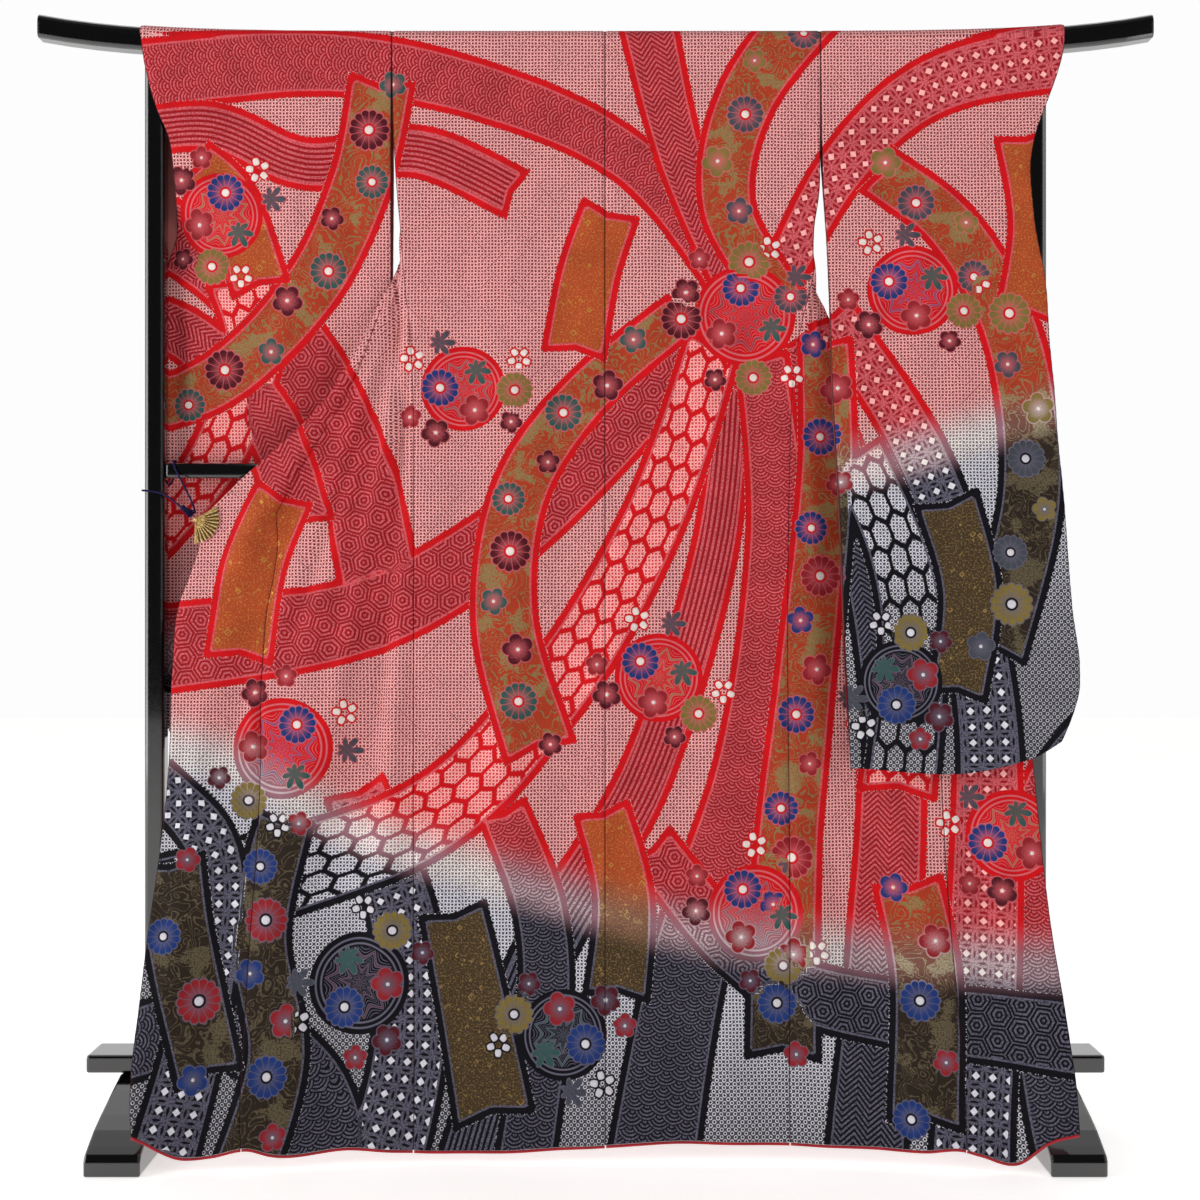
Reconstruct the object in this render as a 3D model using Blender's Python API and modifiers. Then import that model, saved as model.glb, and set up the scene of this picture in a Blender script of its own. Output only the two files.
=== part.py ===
"""A furisode kimono hung over the rail of a lacquered kimono stand, seen from its back.

Metres, +Z up. The viewer stands at -Y behind the garment, with +X to the right.
The stand rests on the floor at Z 0, and every piece of cloth is a wall 2 mm thick."""
import math

import bmesh
import bpy
import numpy as np
from mathutils import Vector

# Sizes of the stand
RAIL_HALF_LENGTH = 0.81
RAIL_DEPTH = 0.030
RAIL_HEIGHT = 0.036
RAIL_TOP = 1.598
RAIL_CORNER = 0.014
RAIL_CORNER_STEPS = 4
RAIL_LOWER_CORNER = 0.005
RAIL_TIP_RISE = 0.0265
RAIL_RISE_POWER = 5.68
RAIL_STATIONS = (0.0, 0.30, 0.45, 0.54, 0.60, 0.6265, 0.6555, 0.69, 0.73, 0.77, RAIL_HALF_LENGTH)
POST_X = 0.641
POST_SIDE = 0.029
POST_CORNER = 0.006
MID_RAIL_Z = 0.959
MID_RAIL_HEIGHT = 0.022
BOARD_HALF_LENGTH = 0.734
BOARD_DEPTH = 0.067
BOARD_BOTTOM = 0.089
BOARD_TOP = 0.115
CROSS_CORNER = 0.004
FOOT_CORNER = 0.003
FOOT_X = 0.646
FOOT_WIDTH = 0.076
FOOT_PROFILE = {
    "y": (0.0, 0.034, 0.072, 0.126, 0.156, 0.181, 0.194, 0.200),
    "top": (0.0887, 0.0887, 0.0775, 0.060, 0.049, 0.036, 0.029, 0.020),
}
GAP = 0.0003

# Sizes of the cloth
CLOTH = 0.002
HALF_CLOTH = CLOTH / 2
SEAM = 0.0002
OVERLAP_SEAM = 0.0003
OFF_RAIL = 0.0015
FLAT_HALF = RAIL_DEPTH / 2 - RAIL_CORNER
TURN_RADIUS = RAIL_CORNER + OFF_RAIL
FLANK_Z = RAIL_TOP - RAIL_CORNER
FLANK_Y = FLAT_HALF + TURN_RADIUS
CENTRE_SEAM = 0.0135
NECK_HALF = 0.092
HEM_ROLL = 0.004
HEM_INSET = 0.0009
HEM_FADE = (0.02, 0.26)
HANG_START = RAIL_TOP - 0.018
HANG_SPREAD = 0.0478
HANG_TURN = 0.93
HANG_LENGTH = 1.56
ARMPIT = {"left": 1.291, "right": 1.244}
SEAM_TURN = 0.14
RAIL_TURNS = (90.0, 67.5, 45.0, 22.5, 0.0)
BELOW_RAIL = RAIL_TOP - RAIL_HEIGHT - 0.004
BACK_RIPPLE = {"depth": 0.0025, "length": 0.024, "fade": (0.8, 1.4)}
COLLAR_OFF = 0.0036
COLLAR_WIDTH = 0.050
COLLAR_SHARE = 0.25
COLLAR_SPAN = (0.93, 1.55)
NECK_OFF = 0.012
NECK_CURVE = 0.25

# The small folds gathered behind each armpit: heights from it where they start, are full and end
GATHER_BELOW = (-0.15, -0.03)
GATHER_ABOVE = (0.03, 0.17)
GATHER_WIDTH = 0.72
GATHER_DEPTH = 1 / 13

# The long folds that spread from each armpit, by the distance from it and the height of the row
FOLD_DEPTH = {"left": 0.0065, "right": 0.0035}
FOLD_START = (0.10, 0.38)
FOLD_FAR = (0.7, 1.25)
FOLD_FAR_LOSS = 0.35
FOLD_TOP = 0.06
FOLD_PITCH = {"near": 15.0, "narrower": 6.5, "reach": (0.4, 1.25), "turn": 40}
FOLD_EDGE = {"flat": 0.10, "more": 0.16, "rows": (0.90, 0.98), "blend": 0.18, "seam": 0.16}

# The right front lies a little back between its seam and its edge, over these rows
RECESS = {"depth": 0.012, "seam": 0.2, "edge": (0.1, 0.7), "rise": (0.2, 0.5), "fall": (0.95, 1.15)}

# The body's two side edges, from the hem up to the shoulder
BODY_EDGE = {
    "z": (0.012, 0.293, 0.770, 0.949, 1.058, 1.110, 1.174, 1.218,
          1.244, 1.276, 1.291, 1.312, 1.356, 1.425, 1.553),
    "left": (-0.2490, -0.2557, -0.2601, -0.2613, -0.2625, -0.2650, -0.2688, -0.2748, -0.2772,
             -0.2798, -0.2809, -0.2825, -0.2868, -0.2915, -0.2953),
    "right": (0.2664, 0.2734, 0.2751, 0.2788, 0.2830, 0.2873, 0.2985, 0.3095, 0.3153,
              0.3147, 0.3150, 0.3164, 0.3231, 0.3250, 0.3260),
}

# The lowest line of the rolled hem, from the left corner to the right one
HEM = {
    "x": (-0.6223, -0.605, -0.5848, -0.5593, -0.540, -0.5213, -0.466, -0.441, -0.330, -0.249, -0.050,
          0.0135, 0.060, 0.266, 0.378, 0.445, 0.4965, 0.5195, 0.573, 0.592, 0.6034, 0.614, 0.6475),
    "z": (0.0480, 0.0395, 0.0276, 0.0165, 0.0150, 0.0165, 0.0255, 0.0180, 0.0195, 0.0135, 0.0165,
          0.0195, 0.0225, 0.0228, 0.0220, 0.0210, 0.0255, 0.0195, 0.0125, 0.028, 0.0375, 0.0430, 0.0530),
}

# Each front's free edge, row by row down the side seam: where the row starts on the seam,
# and where it ends on the collar edge, down to the collar's end
FRONT_TOP = {
    "left": {
        "seam_z": (0.895, 0.945, 1.000, 1.060, 1.130, 1.200, 1.235, 1.262, 1.291,
                   1.335, 1.390, 1.460, 1.530, 1.584),
        "edge_x": (-0.563, -0.510, -0.452, -0.398, -0.349, -0.312, -0.2965, -0.2885, -0.283,
                   -0.260, -0.220, -0.169, -0.117, -0.0785),
        "edge_y": (-0.030, -0.030, -0.029, -0.027, -0.024, -0.019, -0.0125, 0.010, 0.030,
                   0.026, 0.0235, 0.0205, 0.018, 0.0165),
        "edge_z": (0.893, 0.945, 0.997, 1.050, 1.120, 1.200, 1.232, 1.262, 1.300,
                   1.335, 1.390, 1.460, 1.530, 1.584),
    },
    "right": {
        "seam_z": (0.895, 0.945, 1.000, 1.060, 1.110, 1.165, 1.200, 1.220, 1.244,
                   1.280, 1.330, 1.420, 1.520, 1.584),
        "edge_x": (0.563, 0.511, 0.456, 0.410, 0.376, 0.347, 0.3325, 0.3235, 0.3175,
                   0.300, 0.268, 0.210, 0.146, 0.1055),
        "edge_y": (-0.030, -0.029, -0.026, -0.023, -0.020, -0.015, -0.009, 0.010, 0.030,
                   0.028, 0.026, 0.023, 0.0185, 0.0165),
        "edge_z": (0.893, 0.945, 0.997, 1.050, 1.105, 1.160, 1.195, 1.218, 1.253,
                   1.285, 1.330, 1.420, 1.520, 1.584),
    },
}

# Each front's free edge from the hem corner up to the collar's end
FRONT_EDGE = {
    "left": {
        "z": (0.052, 0.076, 0.124, 0.207, 0.310, 0.390, 0.448, 0.542, 0.675, 0.771, 0.801, 0.856, 0.893),
        "x": (-0.6223, -0.627, -0.632, -0.630, -0.6245, -0.617, -0.612,
              -0.607, -0.606, -0.597, -0.586, -0.569, -0.563),
        "y": (-0.190, -0.180, -0.158, -0.128, -0.100, -0.083, -0.073,
              -0.059, -0.044, -0.035, -0.033, -0.031, -0.030),
    },
    "right": {
        "z": (0.057, 0.109, 0.160, 0.229, 0.300, 0.378, 0.460, 0.543, 0.675, 0.780, 0.845, 0.893),
        "x": (0.6475, 0.651, 0.648, 0.642, 0.634, 0.628, 0.623, 0.618, 0.606, 0.592, 0.575, 0.563),
        "y": (-0.195, -0.170, -0.154, -0.135, -0.118, -0.101, -0.087, -0.074, -0.052, -0.037, -0.032, -0.030),
    },
}

# Share of a row that the front takes before the overlap panel starts
OVERLAP_START = {
    "seam_z": (0.0, 0.60, 0.895, 0.95, 1.06, 1.16, 1.27),
    "share": (0.615, 0.63, 0.66, 0.70, 0.78, 0.84, 0.90),
}

# Sleeves, from the bottom up: inner edge, outer edge of each layer, and each layer's depth
SLEEVE = {
    "right": {
        "z": (0.530, 0.572, 0.609, 0.638, 0.676, 0.754, 0.844, 0.921, 0.997, 1.075, 1.133, 1.238, 1.300,
              1.346, 1.405, 1.453, 1.497, 1.539, 1.571, 1.604),
        "inner": (0.3583, 0.3570, 0.3556, 0.3548, 0.3535, 0.3510, 0.3489, 0.3460, 0.3420, 0.3385,
                  0.3378, 0.3350, 0.3325, 0.3300, 0.3282, 0.3275, 0.3270, 0.3266, 0.3264, 0.3264),
        "outer_near": (0.630, 0.655, 0.6715, 0.6806, 0.683, 0.6749, 0.6698, 0.6659, 0.660, 0.6561,
                       0.6515, 0.6461, 0.6355, 0.6310, 0.6292, 0.639, 0.656, 0.671, 0.679, 0.681),
        "outer_far": (0.630, 0.655, 0.6715, 0.6806, 0.683, 0.6749, 0.6698, 0.6659, 0.660, 0.6561,
                      0.6515, 0.6461, 0.6340, 0.6180, 0.6120, 0.616, 0.623, 0.655, 0.676, 0.681),
        "near": (-0.0912, -0.0885, -0.0855, -0.083, -0.080, -0.074, -0.0672, -0.0613, -0.0554, -0.0493,
                 -0.0448, -0.0363, -0.0315, -0.0273, -0.0232, -0.020, -0.0178, -0.0168, -0.0165, -0.0165),
        "far": (-0.0840, -0.0770, -0.0715, -0.067, -0.063, -0.056, -0.0490, -0.0440, -0.0400, -0.0365,
                -0.0345, -0.0295, -0.0257, -0.0200, -0.004, 0.010, 0.0165, 0.0165, 0.0165, 0.0165),
        "edge": (-0.0900, -0.0868, -0.0835, -0.081, -0.078, -0.072, -0.0645, -0.0585, -0.0525, -0.0465,
                 -0.0420, -0.0340, -0.0292, -0.0240, -0.0136, -0.005, 0.0, 0.0, 0.0, 0.0),
    },
    "left": {
        "z": (0.530, 0.565, 0.600, 0.700, 0.850, 0.930, 0.980, 1.100, 1.200, 1.255, 1.305,
              1.345, 1.394, 1.445, 1.478, 1.539, 1.604),
        "inner": (-0.3000, -0.3000, -0.3000, -0.3000, -0.2990, -0.2990, -0.2990, -0.2985, -0.2985,
                  -0.2985, -0.2980, -0.2975, -0.2970, -0.2968, -0.2964, -0.2960, -0.2957),
        "outer_near": (-0.600, -0.622, -0.636, -0.641, -0.641, -0.640, -0.640, -0.640, -0.639,
                       -0.632, -0.616, -0.611, -0.613, -0.620, -0.6343, -0.652, -0.662),
        "outer_far": (-0.600, -0.622, -0.636, -0.641, -0.641, -0.640, -0.640, -0.640, -0.6395,
                      -0.6400, -0.6400, -0.641, -0.642, -0.645, -0.648, -0.655, -0.662),
        "near": (0.0245, 0.0240, 0.0235, 0.0225, 0.0215, 0.0215, 0.0205, 0.0095, 0.0015, -0.0025, -0.0060,
                 -0.009, -0.0125, -0.0165, -0.0165, -0.0165, -0.0165),
        "far": (0.0330, 0.0350, 0.0360, 0.0380, 0.0370, 0.0360, 0.0350, 0.0290, 0.0250, 0.0240, 0.0235,
                0.0220, 0.0200, 0.0185, 0.0175, 0.0165, 0.0165),
        "edge": (0.0220, 0.0220, 0.0220, 0.0220, 0.0220, 0.0220, 0.0220, 0.0210, 0.0195, 0.0190, 0.0185,
                 0.010, 0.0000, 0.0, 0.0, 0.0, 0.0),
    },
}
SLEEVE_BOTTOM = {"share": (0.0, 0.71, 0.84, 0.93, 1.0), "z": (0.5345, 0.5323, 0.542, 0.553, 0.572)}
CUFF_END = 1.37
CUFF_BLEND = 0.07
SEWN_FROM = 0.72
CLOSED_FROM = 0.90
SLEEVE_WAVE = {"depth": 0.0022, "across": 9.0, "down": 4.0, "starts": (0.12, 0.4), "ends": 0.85}
EDGE_ROLL = {"depth": 0.008, "middle": 0.93, "width": 0.035, "fade": (1.14, 1.24)}

# Sizes of the clips, the tie cords and the tassel
FAN_PIVOT = (-0.5755, 0.887)
FAN_RADIUS = 0.034
FAN_INNER = 0.005
FAN_FROM = -90.0
FAN_TO = 29.0
FAN_RIBS = 12
FAN_LEAF = 0.0015
FAN_PLEAT = 0.0006
FAN_CLEAR = 0.0007
PIN_RADIUS = 0.0062
PIN_LENGTH = 0.0092
CORD_RADIUS = 0.0015
TASSEL_TOP = (-0.5935, -0.0335, 0.9030)
TASSEL_WAY = (0.78, -0.36, -0.51)
TASSEL_HEAD = 0.0042
TASSEL_STRANDS = 26
TASSEL_LENGTH = 0.018
TASSEL_SPREAD = {"head": 0.0034, "end": 0.0054, "uneven": 0.0008}
STRAND_RADIUS = {"head": 0.00040, "end": 0.00045}
GOLDEN_TURN = math.radians(137.5)


def clear_scene():
    for old in list(bpy.data.objects):
        bpy.data.objects.remove(old, do_unlink=True)


def finish(name, colour, roughness, metallic=0.0):
    """A plain surface of one colour."""
    surface = bpy.data.materials.new(name)
    surface.use_nodes = True
    shader = surface.node_tree.nodes["Principled BSDF"]
    shader.inputs["Base Color"].default_value = (*colour, 1.0)
    shader.inputs["Roughness"].default_value = roughness
    shader.inputs["Metallic"].default_value = metallic
    return surface


def smooth(table, column, at, key="z"):
    """A column of a table as a smooth curve over the table's key column."""
    keys = np.asarray(table[key])
    values = np.asarray(table[column])
    slopes = np.gradient(values, keys)
    i = int(np.clip(np.searchsorted(keys, at) - 1, 0, len(keys) - 2))
    width = keys[i + 1] - keys[i]
    t = min(max((at - keys[i]) / width, 0.0), 1.0)
    ends = values[i] * (1 + 2 * t) * (1 - t) ** 2 + values[i + 1] * t * t * (3 - 2 * t)
    return float(ends + width * (slopes[i] * t * (1 - t) ** 2 - slopes[i + 1] * t * t * (1 - t)))


def ease(value, start, stop):
    """0 before start, 1 past stop, and a soft step between."""
    t = min(max((value - start) / (stop - start), 0.0), 1.0)
    return t * t * (3 - 2 * t)


def rail_rise(x):
    """How far the rail has swept up at x, on straight runs between its stations."""
    rises = [RAIL_TIP_RISE * (s / RAIL_HALF_LENGTH) ** RAIL_RISE_POWER for s in RAIL_STATIONS]
    return float(np.interp(abs(x), RAIL_STATIONS, rises))


def hang(z):
    """Depth of the back panels, which spread forward as they fall."""
    t = min(max((HANG_START - z) / HANG_LENGTH, 0.0), 1.0)
    return -FLANK_Y + HANG_SPREAD * math.log(1 - HANG_TURN * t)


def over_rail(x, turn, side):
    """A point of the cloth on the rail's round top, where turn is 90 on top and 0 at its side."""
    if turn == RAIL_TURNS[0]:
        return Vector((x, side * SEAM, RAIL_TOP + OFF_RAIL + rail_rise(x)))
    angle = math.radians(turn)
    y = FLAT_HALF + TURN_RADIUS * math.cos(angle)
    return Vector((x, side * y, FLANK_Z + TURN_RADIUS * math.sin(angle) + rail_rise(x)))


def hem_row(x):
    """Height of the last row of cloth, above the rolled hem."""
    return smooth(HEM, "z", x, key="x") + HEM_ROLL + GAP


def near_hem(z):
    """How much of the hem's rise and fall a row at this height takes."""
    return (1 - ease(z, *HEM_FADE)) ** 2


HEM_LOW = {side: hem_row(BODY_EDGE[side][0]) for side in ("left", "right")}


def add_piece(name, bm, surface, group):
    mesh = bpy.data.meshes.new(name)
    bm.to_mesh(mesh)
    bm.free()
    mesh.materials.append(surface)
    piece = bpy.data.objects.new(name, mesh)
    group.objects.link(piece)
    return piece


def soften(piece, width, segments=2):
    """Rounded edges on a hard piece."""
    bevel = piece.modifiers.new("Rounded edges", "BEVEL")
    bevel.width = width
    bevel.segments = segments
    bevel.limit_method = "ANGLE"
    bevel.angle_limit = math.radians(40)


def block(low, high):
    """A bmesh box between two corners."""
    bm = bmesh.new()
    bmesh.ops.create_cube(bm, size=1.0)
    low, high = Vector(low), Vector(high)
    for vert in bm.verts:
        vert.co = Vector(low[i] + (vert.co[i] + 0.5) * (high[i] - low[i]) for i in range(3))
    return bm


def cut_across(bm, axis, places):
    """Cuts a block across at each place, so that it can be bent there."""
    normal = Vector((axis == 0, axis == 1, axis == 2))
    for place in places:
        every = bm.verts[:] + bm.edges[:] + bm.faces[:]
        bmesh.ops.bisect_plane(bm, geom=every, plane_co=normal * place, plane_no=normal)


def top_rail(lacquer, group):
    """The upper rail: a round top for the cloth, and ends that sweep up."""
    half = RAIL_DEPTH / 2
    bm = block((-RAIL_HALF_LENGTH, -half, RAIL_TOP - RAIL_HEIGHT), (RAIL_HALF_LENGTH, half, RAIL_TOP))
    long_edges = [e for e in bm.edges if abs(e.verts[0].co.x - e.verts[1].co.x) > RAIL_HALF_LENGTH]
    upper = [e for e in long_edges if e.verts[0].co.z > RAIL_TOP - GAP]
    lower = [e for e in long_edges if e not in upper]
    bmesh.ops.bevel(bm, geom=upper, offset=RAIL_CORNER, segments=RAIL_CORNER_STEPS, profile=0.5,
                    affect="EDGES", material=-1)
    bmesh.ops.bevel(bm, geom=[e for e in lower if e.is_valid], offset=RAIL_LOWER_CORNER, segments=2,
                    profile=0.5, affect="EDGES", material=-1)
    cut_across(bm, 0, [sign * s for s in RAIL_STATIONS[:-1] for sign in (-1, 1) if s or sign > 0])
    for vert in bm.verts:
        vert.co.z += rail_rise(vert.co.x)
    add_piece("top_rail", bm, lacquer, group)


def posts(lacquer, group):
    """Two square posts from the base board up to the rail."""
    half = POST_SIDE / 2
    for name, side in (("post_left", -1), ("post_right", 1)):
        x = side * POST_X
        bm = block((x - half, -half, BOARD_TOP + GAP), (x + half, half, RAIL_TOP - RAIL_HEIGHT))
        for vert in bm.verts:
            if vert.co.z > BOARD_TOP + 2 * GAP:
                vert.co.z += rail_rise(vert.co.x) - GAP
        soften(add_piece(name, bm, lacquer, group), POST_CORNER, 3)


def cross_pieces(lacquer, group):
    """The middle rail between the posts, and the base board that they stand on."""
    reach = POST_X - POST_SIDE / 2 - GAP
    half = MID_RAIL_HEIGHT / 2
    bm = block((-reach, -half, MID_RAIL_Z - half), (reach, half, MID_RAIL_Z + half))
    soften(add_piece("mid_rail", bm, lacquer, group), CROSS_CORNER)
    half = BOARD_DEPTH / 2
    bm = block((-BOARD_HALF_LENGTH, -half, BOARD_BOTTOM), (BOARD_HALF_LENGTH, half, BOARD_TOP))
    soften(add_piece("base_board", bm, lacquer, group), CROSS_CORNER)


def feet(lacquer, group):
    """Two feet that slope down to a round nose at each end."""
    reach = FOOT_PROFILE["y"][-1]
    for name, side in (("foot_left", -1), ("foot_right", 1)):
        x = side * FOOT_X
        bm = block((x - FOOT_WIDTH / 2, -reach, 0.0), (x + FOOT_WIDTH / 2, reach, 1.0))
        cut_across(bm, 1, [sign * y for y in FOOT_PROFILE["y"][1:-1] for sign in (-1, 1)])
        for vert in bm.verts:
            vert.co.z *= float(np.interp(abs(vert.co.y), FOOT_PROFILE["y"], FOOT_PROFILE["top"]))
        soften(add_piece(name, bm, lacquer, group), FOOT_CORNER)


def cloth_piece(name, place, across, down, surface, group):
    """A wall of cloth through place(column, row), for every pair of the stops given."""
    bm = bmesh.new()
    columns, rows = len(across) - 1, len(down) - 1
    bmesh.ops.create_grid(bm, x_segments=columns, y_segments=rows, size=1.0)
    for vert in bm.verts:
        column = round((vert.co.x + 1) / 2 * columns)
        row = round((vert.co.y + 1) / 2 * rows)
        vert.co = place(across[column], down[row])
    bmesh.ops.triangulate(bm, faces=bm.faces[:], quad_method="FIXED")
    piece = add_piece(name, bm, surface, group)
    wall = piece.modifiers.new("Cloth wall", "SOLIDIFY")
    wall.thickness = CLOTH
    wall.offset = 0.0
    wall.use_quality_normals = True
    return piece


def back_place(side):
    """Places the points of one back panel, from the centre seam out to the side seam."""
    def place(u, row):
        kind, value = row
        edge = smooth(BODY_EDGE, side, RAIL_TOP if kind == "turn" else value)
        sign = -1 if side == "left" else 1
        start = CENTRE_SEAM + sign * SEAM
        x = start + u * (edge - start)
        if kind == "turn":
            return over_rail(x, value, -1)
        z = value + near_hem(value) * (hem_row(x) - HEM_LOW[side])
        depth = BACK_RIPPLE["depth"] * (1 - ease(value, *BACK_RIPPLE["fade"]))
        ripple = depth * math.sin(x / BACK_RIPPLE["length"]) * math.sin(math.pi * u)
        return Vector((x, hang(z) - ripple, z))
    return place


# The rows that the back and front panels share: round the rail, then down the seams to the hem
SEAM_ROWS = {
    "left": (BELOW_RAIL, 1.530, 1.460, 1.390, 1.335, 1.291, 1.262, 1.235, 1.200, 1.155),
    "right": (BELOW_RAIL, 1.520, 1.450, 1.380, 1.320, 1.280, 1.244, 1.220, 1.200, 1.165),
}
LOWER_ROWS = (1.105, 1.050, 0.995, 0.945, 0.895, 0.830, 0.750, 0.660,
              0.560, 0.460, 0.360, 0.265, 0.185, 0.115, 0.060)
ROWS = {
    side: [("turn", turn) for turn in RAIL_TURNS]
    + [("seam", z) for z in SEAM_ROWS[side] + LOWER_ROWS + (HEM_LOW[side],)]
    for side in ("left", "right")
}
BACK_COLUMNS = (0.0, 0.2, 0.4, 0.6, 0.8, 1.0)


def back_panels(silk, group):
    """The two back panels, which meet at the centre seam and end on top of the rail."""
    for side in ("left", "right"):
        cloth_piece("back_" + side, back_place(side), BACK_COLUMNS, ROWS[side], silk, group)


def seam_point(side, seam_z):
    """The front's side of the side seam, and of the armhole above it."""
    sign = -1 if side == "left" else 1
    x = smooth(BODY_EDGE, side, seam_z)
    start = ARMPIT[side]
    if seam_z > start:
        share = min((seam_z - start) / (BELOW_RAIL - start), 1.0)
        y = (1 - share) * (hang(start) + CLOTH + GAP) + share * FLANK_Y
        return Vector((x, y, seam_z))
    turned = ease(seam_z, start - SEAM_TURN, start)
    beside = (1 - turned) * 2 * SEAM
    behind = turned * (CLOTH + GAP)
    return Vector((x + sign * beside, hang(seam_z) + behind, seam_z))


def edge_point(side, seam_z):
    """The front's free edge, on the row that starts at this height of the side seam."""
    top = FRONT_TOP[side]
    low = top["seam_z"][0]
    if seam_z >= low:
        return Vector(smooth(top, column, seam_z, key="seam_z") for column in ("edge_x", "edge_y", "edge_z"))
    edge = FRONT_EDGE[side]
    bottom = edge["z"][0]
    z = top["edge_z"][0] + (seam_z - low) * (top["edge_z"][0] - bottom) / (low - HEM_LOW[side])
    return Vector((smooth(edge, "x", z), smooth(edge, "y", z), z))


def gather(u, length, seam_z, side):
    """Small folds where the cloth is gathered behind the armpit."""
    height = seam_z - ARMPIT[side]
    near = ease(height, *GATHER_BELOW) * (1 - ease(height, *GATHER_ABOVE))
    within = min(u / GATHER_WIDTH, 1.0)
    return near * length * GATHER_DEPTH * math.sin(4 * math.pi * within) * math.sin(math.pi * within)


def fan_fold(point, u, seam_z, side):
    """Long soft folds that spread from the armpit down over the front, and leave its edges flat."""
    sign = -1 if side == "left" else 1
    start = Vector((smooth(BODY_EDGE, side, ARMPIT[side]), 0.0, ARMPIT[side]))
    across = sign * (point.x - start.x)
    below = start.z - point.z
    reach = math.hypot(across, below)
    angle = math.degrees(math.atan2(across, below))
    depth = FOLD_DEPTH[side] * ease(reach, *FOLD_START) * (1 - FOLD_FAR_LOSS * ease(reach, *FOLD_FAR))
    depth *= 1 - ease(seam_z, start.z - FOLD_TOP, start.z)
    flat = FOLD_EDGE["flat"] + FOLD_EDGE["more"] * ease(seam_z, *FOLD_EDGE["rows"])
    depth *= ease(u, 0.0, FOLD_EDGE["seam"]) * ease(1 - u, flat, flat + FOLD_EDGE["blend"])
    pitch = FOLD_PITCH["near"] - FOLD_PITCH["narrower"] * ease(reach, *FOLD_PITCH["reach"])
    return depth * math.cos(math.radians(360 * angle / pitch + FOLD_PITCH["turn"]))


def front_point(side, u, row):
    """A point of the front and its overlap panel, from the side seam out to the free edge."""
    kind, value = row
    sign = -1 if side == "left" else 1
    if kind == "turn":
        seam_x = smooth(BODY_EDGE, side, RAIL_TOP)
        edge_x = CENTRE_SEAM + sign * NECK_HALF
        return over_rail(seam_x + u * (edge_x - seam_x), value, 1)
    seam, edge = seam_point(side, value), edge_point(side, value)
    point = seam.lerp(edge, u)
    run = Vector((edge.x - seam.x, edge.y - seam.y, 0.0))
    across = Vector((run.y, -run.x, 0.0)).normalized()
    point += across * gather(u, run.length, value, side)
    point.y -= fan_fold(point, u, value, side)
    if side == "right":
        back = ease(u, 0.0, RECESS["seam"]) * ease(1 - u, *RECESS["edge"])
        back *= ease(value, *RECESS["rise"]) * (1 - ease(value, *RECESS["fall"]))
        point.y += RECESS["depth"] * back
    line = (1 - u) * HEM_LOW[side] + u * FRONT_EDGE[side]["z"][0]
    point.z += near_hem(value) * (hem_row(point.x) - line)
    return point


FRONT_COLUMNS = (0.0, 0.09, 0.19, 0.29, 0.40, 0.51, 0.62, 0.74, 0.87, 1.0)
OVERLAP_COLUMNS = (0.0, 0.22, 0.46, 0.72, 1.0)
FIRST_OVERLAP_ROW = {"left": 11, "right": 12}


def overlap_share(side, row, near):
    """Where on a row the front ends or the overlap panel starts, either side of their seam."""
    seam_z = row[1]
    length = (edge_point(side, seam_z) - seam_point(side, seam_z)).length
    return smooth(OVERLAP_START, "share", seam_z, key="seam_z") + near * OVERLAP_SEAM / length


def front_panels(silk, group):
    """Each front hangs behind the rail, turns at the armpit and is drawn out beside the back."""
    for side in ("left", "right"):
        rows = ROWS[side]
        overlap_rows = rows[FIRST_OVERLAP_ROW[side]:]

        def front(u, row, side=side, overlap_rows=overlap_rows):
            share = overlap_share(side, row, -1) if row in overlap_rows else 1.0
            return front_point(side, u * share, row)

        def overlap(u, row, side=side):
            share = overlap_share(side, row, 1)
            return front_point(side, share + u * (1 - share), row)

        cloth_piece("front_" + side, front, FRONT_COLUMNS, rows, silk, group)
        cloth_piece("okumi_" + side, overlap, OVERLAP_COLUMNS, overlap_rows, silk, group)


def collars(silk, group):
    """The collar: a band inside each front's free edge, and a stretch behind the rail at the neck."""
    for side in ("left", "right"):
        rows = [row for row in ROWS[side] if row[0] == "seam" and COLLAR_SPAN[0] < row[1] < COLLAR_SPAN[1]]
        toward = 1 if side == "left" else -1

        def place(u, row, side=side, toward=toward):
            run = edge_point(side, row[1]) - seam_point(side, row[1])
            share = min(COLLAR_WIDTH / run.length, COLLAR_SHARE)
            inward = Vector((run.y, -run.x, 0.0)).normalized() * toward
            return front_point(side, 1 - share * (1 - u) - SEAM / run.length, row) + inward * COLLAR_OFF

        cloth_piece("collar_" + side, place, (0.0, 0.5, 1.0), rows, silk, group)

    def neck(u, row):
        reach = NECK_HALF - 2 * SEAM
        x = CENTRE_SEAM + (2 * u - 1) * reach
        kind, value = row
        if kind == "turn":
            return over_rail(x, value, 1)
        drop = value * COLLAR_WIDTH * (1 - NECK_CURVE * (2 * u - 1) ** 2)
        return Vector((x, FLANK_Y + NECK_OFF * value, FLANK_Z - drop))

    rows = [("turn", turn) for turn in RAIL_TURNS] + [("drop", 0.45), ("drop", 1.0)]
    cloth_piece("collar_neck", neck, (0.0, 0.2, 0.4, 0.6, 0.8, 1.0), rows, silk, group)


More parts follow.
